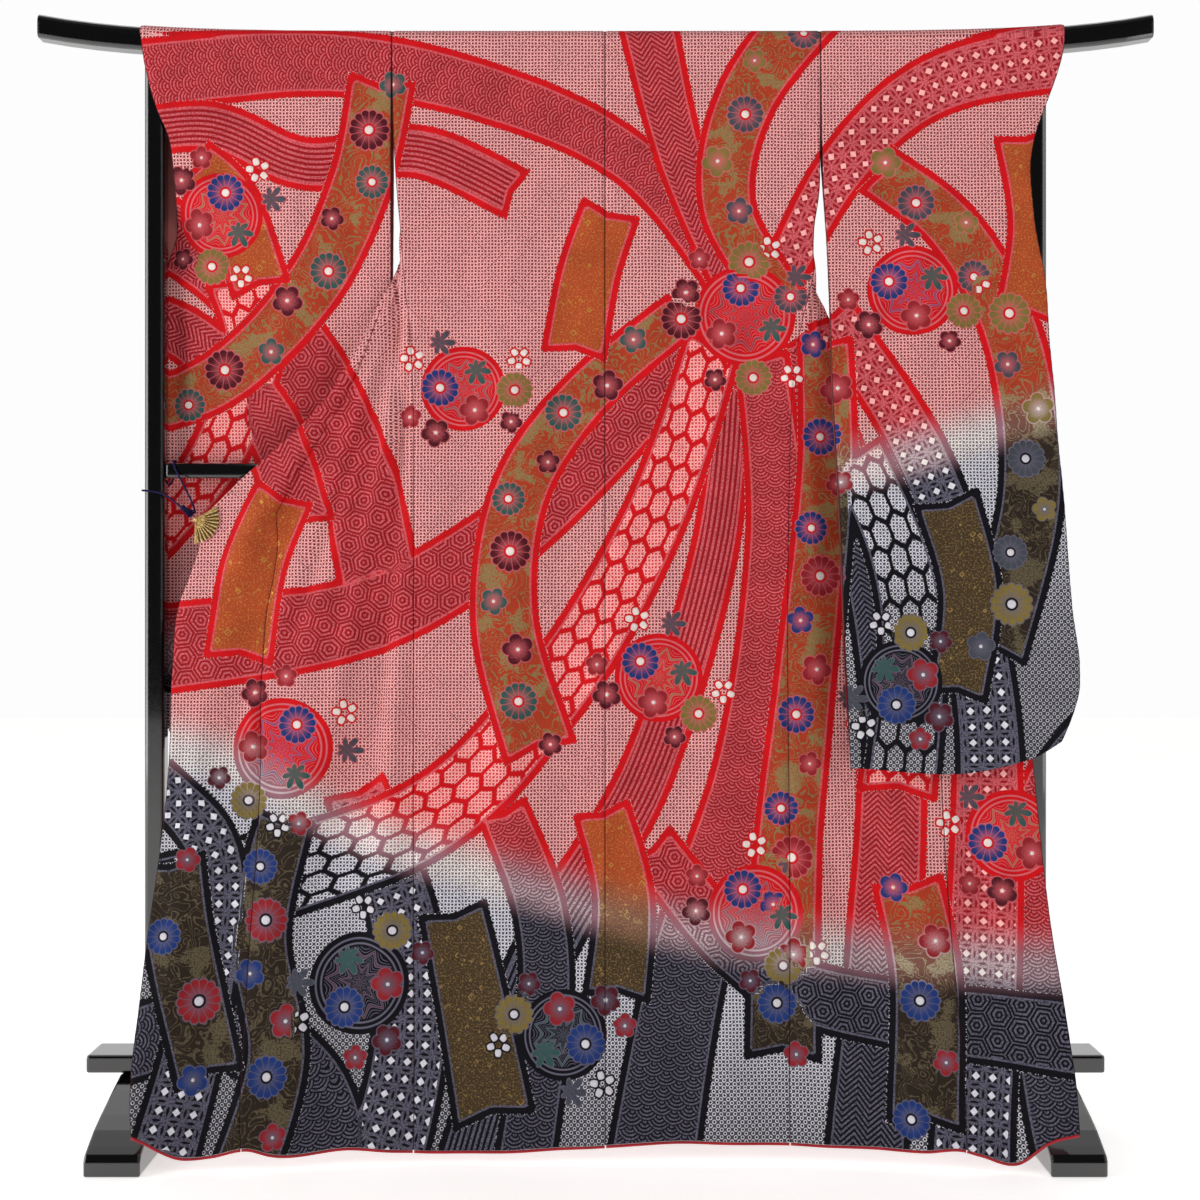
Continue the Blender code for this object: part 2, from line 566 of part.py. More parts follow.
def sleeve_place(side, layer):
    """Places the points of one layer of a sleeve, from the body out to the cuff edge."""
    table = SLEEVE[side]
    toward = -1 if layer == "near" else 1

    def place(u, row):
        kind, value = row
        if kind == "turn":
            inner, outer = smooth(table, "inner", RAIL_TOP), smooth(table, "outer_" + layer, RAIL_TOP)
            return over_rail(inner + u * (outer - inner), value, toward)
        bottom = smooth(SLEEVE_BOTTOM, "z", u, key="share")
        edge_x = smooth(table, "outer_near", RAIL_TOP)
        top = FLANK_Z + rail_rise(edge_x * u)
        z = top + value * (bottom - top)
        inner, outer = smooth(table, "inner", z), smooth(table, "outer_" + layer, z)
        x = inner + u * (outer - inner)
        sewn = 1 - ease(z, CUFF_END - CUFF_BLEND, CUFF_END)
        meet = max(sewn * ease(u, SEWN_FROM, 1.0), ease(value, CLOSED_FROM, 1.0))
        free = smooth(table, layer, z)
        closed = smooth(table, "edge", z) + toward * (HALF_CLOTH + SEAM)
        y = free + meet * (closed - free)
        depth = SLEEVE_WAVE["depth"] * ease(value, *SLEEVE_WAVE["starts"])
        depth *= math.sin(math.pi * min(u / SLEEVE_WAVE["ends"], 1.0))
        y += depth * math.sin(SLEEVE_WAVE["across"] * u + SLEEVE_WAVE["down"] * value)
        if side == "left":
            roll = math.exp(-((u - EDGE_ROLL["middle"]) / EDGE_ROLL["width"]) ** 2)
            y += EDGE_ROLL["depth"] * roll * (1 - ease(z, *EDGE_ROLL["fade"]))
        return Vector((x, y, z))
    return place


SLEEVE_DROPS = (0.045, 0.085, 0.125, 0.165, 0.205, 0.24, 0.275, 0.325, 0.39,
                0.47, 0.56, 0.65, 0.74, 0.83, 0.90, 0.955, 1.0)
SLEEVE_ROWS = [("turn", turn) for turn in RAIL_TURNS] + [("drop", drop) for drop in SLEEVE_DROPS]
SLEEVE_COLUMNS = (0.0, 0.18, 0.36, 0.54, 0.70, 0.82, 0.88, 0.94, 1.0)


def sleeves(silk, group):
    """Each sleeve has a back layer toward the viewer and a front layer behind it."""
    for side in ("left", "right"):
        for cut, layer in (("back", "near"), ("front", "far")):
            place = sleeve_place(side, layer)
            cloth_piece(f"sleeve_{side}_{cut}", place, SLEEVE_COLUMNS, SLEEVE_ROWS, silk, group)


def tube(name, points, radius, resolution, surface, group):
    """A round cord through the points."""
    curve = bpy.data.curves.new(name, "CURVE")
    curve.dimensions = "3D"
    curve.bevel_depth = radius
    curve.bevel_resolution = resolution
    curve.use_fill_caps = True
    spline = curve.splines.new("POLY")
    spline.points.add(len(points) - 1)
    for target, point in zip(spline.points, points):
        target.co = (*point, 1.0)
    curve.materials.append(surface)
    drawn = bpy.data.objects.new(name, curve)
    group.objects.link(drawn)
    bpy.context.view_layer.update()
    mesh = bpy.data.meshes.new_from_object(drawn.evaluated_get(bpy.context.evaluated_depsgraph_get()))
    bm = bmesh.new()
    bm.from_mesh(mesh)
    bmesh.ops.remove_doubles(bm, verts=bm.verts[:], dist=0.00001)
    bmesh.ops.recalc_face_normals(bm, faces=bm.faces[:])
    bpy.data.objects.remove(drawn, do_unlink=True)
    bpy.data.meshes.remove(mesh)
    piece = add_piece(name, bm, surface, group)
    piece.name = name
    return piece


def under(points):
    """The middle of the rolled edge that lies below a row of hem points."""
    middle = []
    for i, point in enumerate(points):
        run = points[min(i + 1, len(points) - 1)] - points[max(i - 1, 0)]
        down = Vector((run.z, 0.0, -run.x)).normalized()
        down *= math.copysign(1.0, -down.z)
        inset = HEM_INSET * ((i == 0) - (i == len(points) - 1))
        middle.append(point + down * (GAP + HEM_ROLL / 2) + run.normalized() * inset)
    return middle


def hem_rolls(lining, group):
    """The lining's rolled edge below each panel's hem."""
    for side in ("left", "right"):
        last = ROWS[side][-1]
        ends, starts = overlap_share(side, last, -1), overlap_share(side, last, 1)
        back = [back_place(side)(u, last) for u in BACK_COLUMNS]
        front = [front_point(side, u * ends, last) for u in FRONT_COLUMNS]
        overlap = [front_point(side, starts + u * (1 - starts), last) for u in OVERLAP_COLUMNS]
        for name, points in (("back", back), ("front", front), ("okumi", overlap)):
            tube(f"hem_{name}_{side}", under(points), HEM_ROLL / 2, 1, lining, group)


def joined(name, pieces, surface, group):
    """Several closed pieces made one solid."""
    first = pieces[0]
    for other in pieces[1:]:
        union = first.modifiers.new("Joined", "BOOLEAN")
        union.operation = "UNION"
        union.object = other
    bpy.context.view_layer.update()
    mesh = bpy.data.meshes.new_from_object(first.evaluated_get(bpy.context.evaluated_depsgraph_get()))
    for piece in pieces:
        bpy.data.objects.remove(piece, do_unlink=True)
    bm = bmesh.new()
    bm.from_mesh(mesh)
    bmesh.ops.remove_doubles(bm, verts=bm.verts[:], dist=0.00001)
    bpy.data.meshes.remove(mesh)
    return add_piece(name, bm, surface, group)


def clip(side, brass, group):
    """A fan-shaped clip: two leaves either side of the cloth, on a pin past its corner."""
    sign = -1 if side == "left" else 1
    corner, above, below = (edge_point(side, z) for z in (0.895, 0.930, 0.860))
    seam = seam_point(side, 0.895)
    slope_x = (seam.y - corner.y) / (seam.x - corner.x)
    slope_z = (above.y - below.y - slope_x * (above.x - below.x)) / (above.z - below.z)
    pivot = Vector((-sign * FAN_PIVOT[0], corner.y, FAN_PIVOT[1]))
    spread = math.radians(FAN_TO - FAN_FROM)

    def lean(bm):
        """Tilts the clip to lie along the cloth that it holds."""
        for vert in bm.verts:
            vert.co.y += slope_x * (vert.co.x - corner.x) + slope_z * (vert.co.z - corner.z)

    leaves = []
    for toward, pleat in ((-1, FAN_PLEAT), (1, 0.0)):
        bm = bmesh.new()
        steps = 2 * FAN_RIBS if pleat else FAN_RIBS
        bmesh.ops.create_grid(bm, x_segments=steps, y_segments=1, size=1.0)
        for vert in bm.verts:
            along = (vert.co.x + 1) / 2
            radius = FAN_RADIUS if vert.co.y > 0 else FAN_INNER
            angle = math.radians(FAN_FROM) + along * spread
            rib = round(along * steps) % 2
            height = toward * (HALF_CLOTH + FAN_CLEAR + FAN_LEAF / 2 + pleat * rib * (vert.co.y > 0))
            vert.co = Vector((-sign * radius * math.cos(angle), height, radius * math.sin(angle))) + pivot
        lean(bm)
        leaf = add_piece("leaf", bm, brass, group)
        wall = leaf.modifiers.new("Leaf", "SOLIDIFY")
        wall.thickness = FAN_LEAF
        wall.offset = 0.0
        leaves.append(leaf)
    bm = bmesh.new()
    bmesh.ops.create_cone(bm, cap_ends=True, segments=14, radius1=PIN_RADIUS, radius2=PIN_RADIUS,
                          depth=PIN_LENGTH)
    for vert in bm.verts:
        vert.co = Vector((vert.co.x, vert.co.z, -vert.co.y)) + pivot
    lean(bm)
    pin = add_piece("pin", bm, brass, group)
    joined("clip_" + side, [pin] + leaves, brass, group)


# The tie cord's way from the clip over the middle rail, round the post and back, on the left
TIE_ROUTE = (
    (-0.5768, -0.0305, 0.8955), (-0.5785, -0.0300, 0.9030), (-0.5850, -0.0275, 0.9180),
    (-0.5950, -0.0235, 0.9360), (-0.6050, -0.0175, 0.9530), (-0.6100, -0.0145, 0.9620),
    (-0.6125, -0.0126, 0.9700), (-0.6135, -0.0066, 0.9730), (-0.6145, 0.0050, 0.9730),
    (-0.6155, 0.0126, 0.9706), (-0.6165, 0.0140, 0.9640), (-0.6180, 0.0142, 0.9540),
    (-0.6220, 0.0150, 0.9450), (-0.6280, 0.0166, 0.9390), (-0.6380, 0.0168, 0.9350),
    (-0.6500, 0.0168, 0.9325), (-0.6566, 0.0158, 0.9315), (-0.6578, 0.0110, 0.9310),
    (-0.6578, 0.0000, 0.9305), (-0.6578, -0.0110, 0.9300), (-0.6566, -0.0158, 0.9295),
    (-0.6500, -0.0168, 0.9290), (-0.6380, -0.0170, 0.9275), (-0.6260, -0.0195, 0.9240),
    (-0.6150, -0.0240, 0.9180), (-0.6050, -0.0290, 0.9105), (-0.5974, -0.0323, 0.9052),
)


def tie_cords(indigo, group):
    """A cord ties each clip to the post and the middle rail."""
    for side, sign in (("left", 1), ("right", -1)):
        points = [Vector((sign * x, y, z)) for x, y, z in TIE_ROUTE]
        tube("tie_cord_" + side, points, CORD_RADIUS, 1, indigo, group)


def tassel(indigo, group):
    """A short tassel on the left tie cord: a round head with its strands fused in."""
    top = Vector(TASSEL_TOP)
    way = Vector((0.0, 0.0, -1.0)).rotation_difference(Vector(TASSEL_WAY))
    bm = bmesh.new()
    bmesh.ops.create_uvsphere(bm, u_segments=10, v_segments=6, radius=TASSEL_HEAD)
    for vert in bm.verts:
        vert.co = way @ vert.co + top
    head = add_piece("head", bm, indigo, group)
    bm = bmesh.new()
    for k in range(TASSEL_STRANDS):
        turn = k * GOLDEN_TURN
        share = math.sqrt((k + 0.5) / TASSEL_STRANDS)
        strand = bmesh.ops.create_cone(bm, cap_ends=True, segments=3, radius1=STRAND_RADIUS["end"],
                                       radius2=STRAND_RADIUS["head"], depth=TASSEL_LENGTH)
        for vert in strand["verts"]:
            low = vert.co.z < 0
            reach = TASSEL_SPREAD["end" if low else "head"] * share
            drop = TASSEL_LENGTH / 2 + 0.3 * TASSEL_HEAD
            drop -= TASSEL_SPREAD["uneven"] * math.sin(7 * k) if low else 0.0
            vert.co += Vector((reach * math.cos(turn), reach * math.sin(turn), -drop))
            vert.co = way @ vert.co + top
    strands = add_piece("strands", bm, indigo, group)
    joined("tassel", [head, strands], indigo, group)


def build():
    clear_scene()
    group = bpy.data.collections.new("Furisode on stand")
    bpy.context.scene.collection.children.link(group)
    lacquer = finish("Black lacquer", (0.008, 0.008, 0.010), 0.12)
    silk = finish("Tie-dyed silk", (0.55, 0.05, 0.06), 0.7)
    lining = finish("Red lining silk", (0.50, 0.01, 0.02), 0.5)
    brass = finish("Gilt brass", (0.75, 0.52, 0.18), 0.3, 1.0)
    indigo = finish("Purple silk cord", (0.06, 0.03, 0.20), 0.6)
    top_rail(lacquer, group)
    posts(lacquer, group)
    cross_pieces(lacquer, group)
    feet(lacquer, group)
    back_panels(silk, group)
    front_panels(silk, group)
    collars(silk, group)
    sleeves(silk, group)
    hem_rolls(lining, group)
    for side in ("left", "right"):
        clip(side, brass, group)
    tie_cords(indigo, group)
    tassel(indigo, group)


build()
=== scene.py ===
"""A tie-dyed furisode kimono, spread over a lacquered kimono stand with its back to the viewer."""
import math

import bmesh
import bpy
import numpy as np
from mathutils import Matrix, Vector


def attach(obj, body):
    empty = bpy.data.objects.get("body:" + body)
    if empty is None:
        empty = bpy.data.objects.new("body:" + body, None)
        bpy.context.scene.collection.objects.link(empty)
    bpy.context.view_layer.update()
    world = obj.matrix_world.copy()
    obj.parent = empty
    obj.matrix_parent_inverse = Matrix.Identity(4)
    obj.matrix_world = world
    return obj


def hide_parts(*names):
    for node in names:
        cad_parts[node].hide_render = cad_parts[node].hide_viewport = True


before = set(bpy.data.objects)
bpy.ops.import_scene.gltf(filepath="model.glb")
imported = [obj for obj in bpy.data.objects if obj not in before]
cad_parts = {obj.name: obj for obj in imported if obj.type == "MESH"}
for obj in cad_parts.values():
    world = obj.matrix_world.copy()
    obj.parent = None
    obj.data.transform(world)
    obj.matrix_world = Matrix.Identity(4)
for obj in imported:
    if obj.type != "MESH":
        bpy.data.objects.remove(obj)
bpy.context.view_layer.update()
scene = bpy.context.scene
scene.view_settings.view_transform = "Standard"

# The camera stands level with the garment's middle, 2.3 m in front of the rail.
# Its small shift puts the stand as far left in the picture as it is in the photograph.
CAMERA_PLACE = (0.0, -2.3, 0.7707)
CAMERA_LENS = 47.25
CAMERA_SHIFT = 0.00375

eye = bpy.data.cameras.new("Camera")
eye.sensor_fit = "HORIZONTAL"
eye.sensor_width = 36.0
eye.lens = CAMERA_LENS
eye.shift_x = CAMERA_SHIFT
camera = bpy.data.objects.new("Camera", eye)
camera.location = CAMERA_PLACE
camera.rotation_euler = (math.pi / 2, 0.0, 0.0)
scene.collection.objects.link(camera)
scene.camera = camera

# The tie cords are two-ply twisted silk cords, 3 mm thick. Each runs from the clip's pin over the
# middle rail, round the post and back. The left one ends in a short cut tassel bound under a round
# head, the right one in a small knot.
TIE_ROUTE = (
    (-0.5768, -0.0305, 0.8955), (-0.5785, -0.03, 0.903), (-0.585, -0.0275, 0.918), (-0.595, -0.0235, 0.936),
    (-0.605, -0.0175, 0.953), (-0.61, -0.0145, 0.962), (-0.6125, -0.0126, 0.97), (-0.6135, -0.0066, 0.973),
    (-0.6145, 0.005, 0.973), (-0.6155, 0.0126, 0.9706), (-0.6165, 0.014, 0.964), (-0.618, 0.0142, 0.954),
    (-0.622, 0.015, 0.945), (-0.628, 0.0166, 0.939), (-0.638, 0.0168, 0.935), (-0.65, 0.0168, 0.9325),
    (-0.6566, 0.0158, 0.9315), (-0.6578, 0.011, 0.931), (-0.6578, 0.0, 0.9305), (-0.6578, -0.011, 0.93),
    (-0.6566, -0.0158, 0.9295), (-0.65, -0.0168, 0.929), (-0.638, -0.017, 0.9275), (-0.626, -0.0195, 0.924),
    (-0.615, -0.024, 0.918), (-0.605, -0.029, 0.9105), (-0.5974, -0.0323, 0.9052),
)
CORD_RADIUS = 0.0015
CORD_STEP = 0.0006
CORD_PLIES = 2
CORD_TWIST = 0.009
CORD_CORNERS = 12
ANY_SIDE = (0.37, 0.81, 0.45)
TASSEL_TOP = np.array((-0.5935, -0.0335, 0.903))
TASSEL_WAY = (0.78, -0.36, -0.51)
TASSEL_HEAD = 0.0042
TASSEL_LENGTH = 0.0193
TASSEL_STRANDS = 170
TASSEL_SPREAD = (0.003, 0.0054)
STRAND_RADIUS = 0.00034
STRAND_SWAY = 0.001
BINDING = {"turns": 3, "radius": 0.00045, "step": 0.0007, "clear": 0.0004}
KNOT_SIZE = 0.003
KNOT_CORD = 0.0012
KNOT_SHIFT = np.array((-0.0048, -0.0006, -0.001))
GOLDEN_TURN = math.radians(137.5)


def linear(code):
    """An sRGB hex colour as linear red, green, blue and alpha."""
    parts = [int(code[i:i + 2], 16) / 255 for i in (1, 3, 5)]
    return (*(c / 12.92 if c <= 0.04045 else ((c + 0.055) / 1.055) ** 2.4 for c in parts), 1.0)


def new_material(name):
    """An empty material and its node tree."""
    material = bpy.data.materials.new(name)
    material.use_nodes = True
    material.node_tree.nodes.clear()
    return material, material.node_tree


SHORT = {"Step": "MapRange.SMOOTHSTEP", "Blend": "Mix.RGBA"}


def add(tree, kind, *values, **named):
    """Adds a node, its operation after a dot, with each value or link in its place or by its name.

    A bare operation in capitals is a Math node's.
    """
    kind = "Math." + kind if kind.isupper() else SHORT.get(kind, kind)
    kind, _, operation = kind.partition(".")
    node = tree.nodes.new("ShaderNode" + kind)
    if operation:
        field = {"Mix": "data_type", "MapRange": "interpolation_type"}.get(kind, "operation")
        setattr(node, field, operation)
    for name in [n for n in named if hasattr(node, n)]:
        setattr(node, name, named.pop(name))
    sockets = list(zip([s for s in node.inputs if s.enabled], values))
    sockets += [(node.inputs[name.replace("_", " ")], value) for name, value in named.items()]
    for socket, value in sockets:
        if isinstance(value, bpy.types.NodeSocket):
            tree.links.new(value, socket)
        elif value is not None:
            socket.default_value = value
    return next((s for s in node.outputs if s.enabled), None)


def finish_piece(name, bm, surface, slot, *nodes):
    """Makes the piece, its faces turned outward where it is closed, and hides the nodes it stands for."""
    if slot != "silk":
        bmesh.ops.recalc_face_normals(bm, faces=bm.faces[:])
    mesh = bpy.data.meshes.new(name)
    bm.to_mesh(mesh)
    bm.free()
    piece = bpy.data.objects.new(name, mesh)
    scene.collection.objects.link(piece)
    for material in surface if isinstance(surface, tuple) else (surface,):
        mesh.materials.append(material)
    for face in mesh.polygons:
        face.use_smooth = True
    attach(piece, "root")
    if nodes:
        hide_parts(*nodes)
    return piece


# Reeled silk thread: a deep purple with a soft shine along the fibres, finer than a pixel shows.
cord_silk, tree = new_material("Twisted purple silk thread")
place = add(tree, "TexCoord").node.outputs["Object"]
fibre = add(tree, "TexNoise", place, 2600.0, 3.0)
shade = add(tree, "Blend", fibre, linear("#07022a"), linear("#160848"))
thread = add(tree, "BsdfPrincipled", Base_Color=shade, Roughness=0.6, Specular_IOR_Level=0.2,
             Normal=add(tree, "Bump", 0.35, 0.0003, 1.0, fibre))
add(tree, "OutputMaterial", thread)


def smooth_path(points, step):
    """The route as evenly spaced points on a smooth curve through its stops."""
    knots = np.array([points[0]] + list(points) + [points[-1]], float)
    t = np.linspace(0, 1, 12, endpoint=False)[:, None]
    runs = []
    for a, b, c, d in zip(knots, knots[1:], knots[2:], knots[3:]):
        bend = (2 * a - 5 * b + 4 * c - d) * t**2 + (3 * b - a - 3 * c + d) * t**3
        runs.append(0.5 * (2 * b + (c - a) * t + bend))
    line = np.vstack(runs + [knots[-1:]])
    far = np.concatenate([[0], np.cumsum(np.linalg.norm(np.diff(line, axis=0), axis=1))])
    even = np.linspace(0, far[-1], max(int(far[-1] / step), 2))
    return np.stack([np.interp(even, far, line[:, i]) for i in range(3)], axis=1)


def sweep(bm, path, ring):
    """Draws a closed tube along the path, where ring(i, side, up) gives each ring's points round it."""
    turns = np.gradient(path, axis=0)
    side = np.array(ANY_SIDE)
    loops = []
    for i, (point, turn) in enumerate(zip(path, turns)):
        turn = turn / np.linalg.norm(turn)
        side = side - turn * side.dot(turn)
        side /= np.linalg.norm(side)
        corners = [bm.verts.new(point + p) for p in ring(i, side, np.cross(turn, side))]
        edges = [bm.edges.new((a, b)) for a, b in zip(corners, corners[1:] + corners[:1])]
        if loops:
            bmesh.ops.bridge_loops(bm, edges=loops[-1] + edges)
        else:
            bmesh.ops.contextual_create(bm, geom=edges)
        loops.append(edges)
    bmesh.ops.contextual_create(bm, geom=loops[-1])


def round_ring(radius, corners):
    """A plain ring of corners, the same all along a tube."""
    turns = [2 * math.pi * k / corners for k in range(corners)]
    return lambda i, across, up: [radius * (math.cos(a) * across + math.sin(a) * up) for a in turns]


def twisted_ring(i, across, up):
    """A ring of two plies side by side, turned a little further at each step."""
    turn = 2 * math.pi * i * CORD_STEP / CORD_TWIST
    for k in range(CORD_CORNERS):
        angle = 2 * math.pi * k / CORD_CORNERS
        reach = CORD_RADIUS * (0.8 + 0.2 * abs(math.cos((angle - turn) * CORD_PLIES / 2)))
        yield reach * (math.cos(angle) * across + math.sin(angle) * up)


# The tassel: fine cut strands that leave a round head and spread, bound with three turns of thread.
# It is short and stiff, and lies against the clip.
lean = np.array(Vector((0.0, 0.0, -1.0)).rotation_difference(Vector(TASSEL_WAY)).to_matrix())
bm = bmesh.new()
bmesh.ops.create_uvsphere(bm, u_segments=20, v_segments=12, radius=TASSEL_HEAD)
bmesh.ops.translate(bm, verts=bm.verts[:], vec=TASSEL_TOP)
for k in range(TASSEL_STRANDS):
    share = math.sqrt((k + 0.5) / TASSEL_STRANDS)
    turn = k * GOLDEN_TURN
    away = np.array((math.cos(turn), math.sin(turn), 0.0))
    drop = TASSEL_LENGTH * (1 - 0.1 * abs(math.sin(5.3 * k)))
    sway = STRAND_SWAY * np.array((math.sin(2.1 * k), math.cos(3.7 * k), 0.0))
    start, stop = TASSEL_SPREAD[0] * share, TASSEL_SPREAD[1] * share
    middle = 0.6 * stop + 0.4 * start
    stops = [(0.0, 0.8 * start, 0.0), (0.22, start, 0.0), (0.55, middle, 0.6), (1.0, stop, 1.0)]
    path = np.array([away * out + sway * swung - (0, 0, drop * down) for down, out, swung in stops])
    sweep(bm, smooth_path(path @ lean.T + TASSEL_TOP, drop / 7), round_ring(STRAND_RADIUS, 3))
turns = np.linspace(0, 2 * math.pi, 25)
hoop = np.stack([np.cos(turns), np.sin(turns), 0 * turns], 1) * (TASSEL_SPREAD[0] + BINDING["clear"])
for k in range(BINDING["turns"]):
    loop = (hoop - (0, 0, TASSEL_HEAD + BINDING["clear"] + BINDING["step"] * k)) @ lean.T
    sweep(bm, loop + TASSEL_TOP, round_ring(BINDING["radius"], 6))
tassel = finish_piece("cut_tassel", bm, cord_silk, "cord", "tassel")

# The knot on the other cord: the cord's end tied once round itself.
x, y, z = TIE_ROUTE[-1]
turns = np.linspace(0, 4 * math.pi, 60)
out = 1.1 + 0.55 * np.cos(1.5 * turns)
loop = np.stack([out * np.cos(turns), 0.7 * np.sin(1.5 * turns), out * np.sin(turns)], 1) * KNOT_SIZE / 1.65
bm = bmesh.new()
sweep(bm, loop + (-x, y, z) + KNOT_SHIFT, round_ring(KNOT_CORD, 10))
knot = finish_piece("cord_knot", bm, cord_silk, "cord")

for side, sign, tip in (("left", 1, tassel), ("right", -1, knot)):
    route = smooth_path([(sign * x, y, z) for x, y, z in TIE_ROUTE], CORD_STEP)
    bm = bmesh.new()
    sweep(bm, route, twisted_ring)
    cord = finish_piece("twisted_cord_" + side, bm, cord_silk, "cord", "tie_cord_" + side)

# The stand is turned and planed wood under black urushi lacquer, rubbed to a high gloss.
# The lacquer stays almost black and shows only soft pale lines along its rounded edges.
lacquer, tree = new_material("Black urushi lacquer")
place = add(tree, "TexCoord").node.outputs["Object"]
ripple = add(tree, "TexNoise", place, 9.0, 2.0)
wear = add(tree, "TexNoise", place, 220.0, 4.0)
rounded = add(tree, "Bevel", 0.004, samples=4)
gloss = add(tree, "BsdfPrincipled", Base_Color=linear("#020203"), IOR=1.55, Coat_Weight=1.0,
            Coat_Roughness=0.05, Roughness=add(tree, "MapRange", wear, 0.35, 0.75, 0.08, 0.15),
            Normal=add(tree, "Bump", 0.05, 0.002, 1.0, ripple, rounded))
add(tree, "OutputMaterial", gloss)
STAND_NODES = ("top_rail", "post_left", "post_right", "mid_rail", "base_board", "foot_left", "foot_right")
for name in STAND_NODES:
    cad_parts[name].data.materials.clear()
    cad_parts[name].data.materials.append(lacquer)

# The two back panels are cut 31 cm wide and 1.6 m long from tie-dyed silk crepe, lined,
# and sewn together down the centre back. They lie over the rail and hang to the red rolled hem.
RAIL_TOP = 1.598
RAIL_HEIGHT = 0.036
RAIL_TIP_RISE = 0.0265
RAIL_RISE_POWER = 5.68
RAIL_STATIONS = np.array((0.0, 0.3, 0.45, 0.54, 0.6, 0.6265, 0.6555, 0.69, 0.73, 0.77, 0.81))
CLOTH = 0.0018
SEAM = 0.00003
GAP = 0.0003
FLAT_HALF = 0.001
TURN_RADIUS = 0.0155
FLANK_Z = 1.584
FLANK_Y = 0.0165
CENTRE_SEAM = 0.0135
NECK_HALF = 0.092
OUTWARD = {"left": -1, "right": 1}
HEM_ROLL = 0.004
HANG_SPREAD = 0.0478
HANG_TURN = 0.93
HANG_LENGTH = 1.56
HANG_START = RAIL_TOP - 0.018
BELOW_RAIL = RAIL_TOP - RAIL_HEIGHT - 0.004
BACK_RIPPLE = 0.0025
HEM_BLEND = (0.02, 0.26)
HEM_FLAT = 0.06
CELL = 0.006
BODY_EDGE = {
    "z": (0.012, 0.293, 0.77, 0.949, 1.058, 1.11, 1.174, 1.218, 1.244, 1.276, 1.291, 1.312, 1.356, 1.425,
          1.553),
    "left": (-0.249, -0.2557, -0.2601, -0.2613, -0.2625, -0.265, -0.2688, -0.2748, -0.2772, -0.2798, -0.2809,
             -0.2825, -0.2868, -0.2915, -0.2953),
    "right": (0.2664, 0.2734, 0.2751, 0.2788, 0.283, 0.2873, 0.2985, 0.3095, 0.3153, 0.3147, 0.315, 0.3164,
              0.3231, 0.325, 0.326),
}
HEM = {
    "x": (-0.6223, -0.605, -0.5848, -0.5593, -0.54, -0.5213, -0.466, -0.441, -0.33, -0.249, -0.05, 0.0135,
          0.06, 0.266, 0.378, 0.445, 0.4965, 0.5195, 0.573, 0.592, 0.6034, 0.614, 0.6475),
    "z": (0.048, 0.0395, 0.0276, 0.0165, 0.015, 0.0165, 0.0255, 0.018, 0.0195, 0.0135, 0.0165, 0.0195, 0.0225,
          0.0228, 0.022, 0.021, 0.0255, 0.0195, 0.0125, 0.028, 0.0375, 0.043, 0.053),
}


def smooth(table, column, at, key="z"):
    """A column of a table as a smooth curve over the table's key column."""
    keys, values = np.asarray(table[key]), np.asarray(table[column])
    slopes = np.gradient(values, keys)
    at = np.asarray(at, float)
    i = np.clip(np.searchsorted(keys, at) - 1, 0, len(keys) - 2)
    width = keys[i + 1] - keys[i]
    t = np.clip((at - keys[i]) / width, 0.0, 1.0)
    ends = values[i] * (1 + 2 * t) * (1 - t) ** 2 + values[i + 1] * t * t * (3 - 2 * t)
    return ends + width * (slopes[i] * t * (1 - t) ** 2 - slopes[i + 1] * t * t * (1 - t))


def ease(value, start, stop):
    """0 before start, 1 past stop, and a soft step between."""
    t = np.clip((value - start) / (stop - start), 0.0, 1.0)
    return t * t * (3 - 2 * t)


def rail_rise(x):
    """How far the rail has swept up at x."""
    rises = RAIL_TIP_RISE * (RAIL_STATIONS / RAIL_STATIONS[-1]) ** RAIL_RISE_POWER
    return np.interp(np.abs(x), RAIL_STATIONS, rises)


def hang(z):
    """Depth of the back panels, which spread forward as they fall."""
    t = np.clip((HANG_START - z) / HANG_LENGTH, 0.0, 1.0)
    return -FLANK_Y + HANG_SPREAD * np.log(1 - HANG_TURN * t)


def over_rail(x, turn, side):
    """Points of the cloth on the rail's round top, where turn is 90 on top and 0 at its side."""
    angle = np.radians(turn)
    y = np.where(turn > 89.9, SEAM, FLAT_HALF + TURN_RADIUS * np.cos(angle))
    return np.stack([x, side * y, FLANK_Z + TURN_RADIUS * np.sin(angle) + rail_rise(x)], axis=-1)


def hem_row(x):
    """Height of the last row of cloth, above the rolled hem."""
    return smooth(HEM, "z", x, key="x") + HEM_ROLL + GAP


def near_hem(z):
    """How much of the hem's rise and fall a row at this height takes."""
    return (1 - ease(z, *HEM_BLEND)) ** 2


HEM_LOW = {side: float(hem_row(BODY_EDGE[side][0])) for side in ("left", "right")}
TURNS = np.linspace(90.0, 0.0, 9)


def rows_to(low, high=FLANK_Z, turned=True):
    """Rows of cloth: their turn on the rail, and their height below it."""
    down = np.linspace(high, low, int((high - low) / CELL) + 1)
    flat = np.stack([0 * down, down], axis=1)
    over = np.stack([TURNS[:-1], RAIL_TOP + 0 * TURNS[:-1]], axis=1)
    return np.vstack([over, flat]) if turned else flat


SEAM_DIP = 0.001
SEAM_REACH = 0.0022
SEAM_COLUMNS = (0.001, 0.0022, 0.0036)


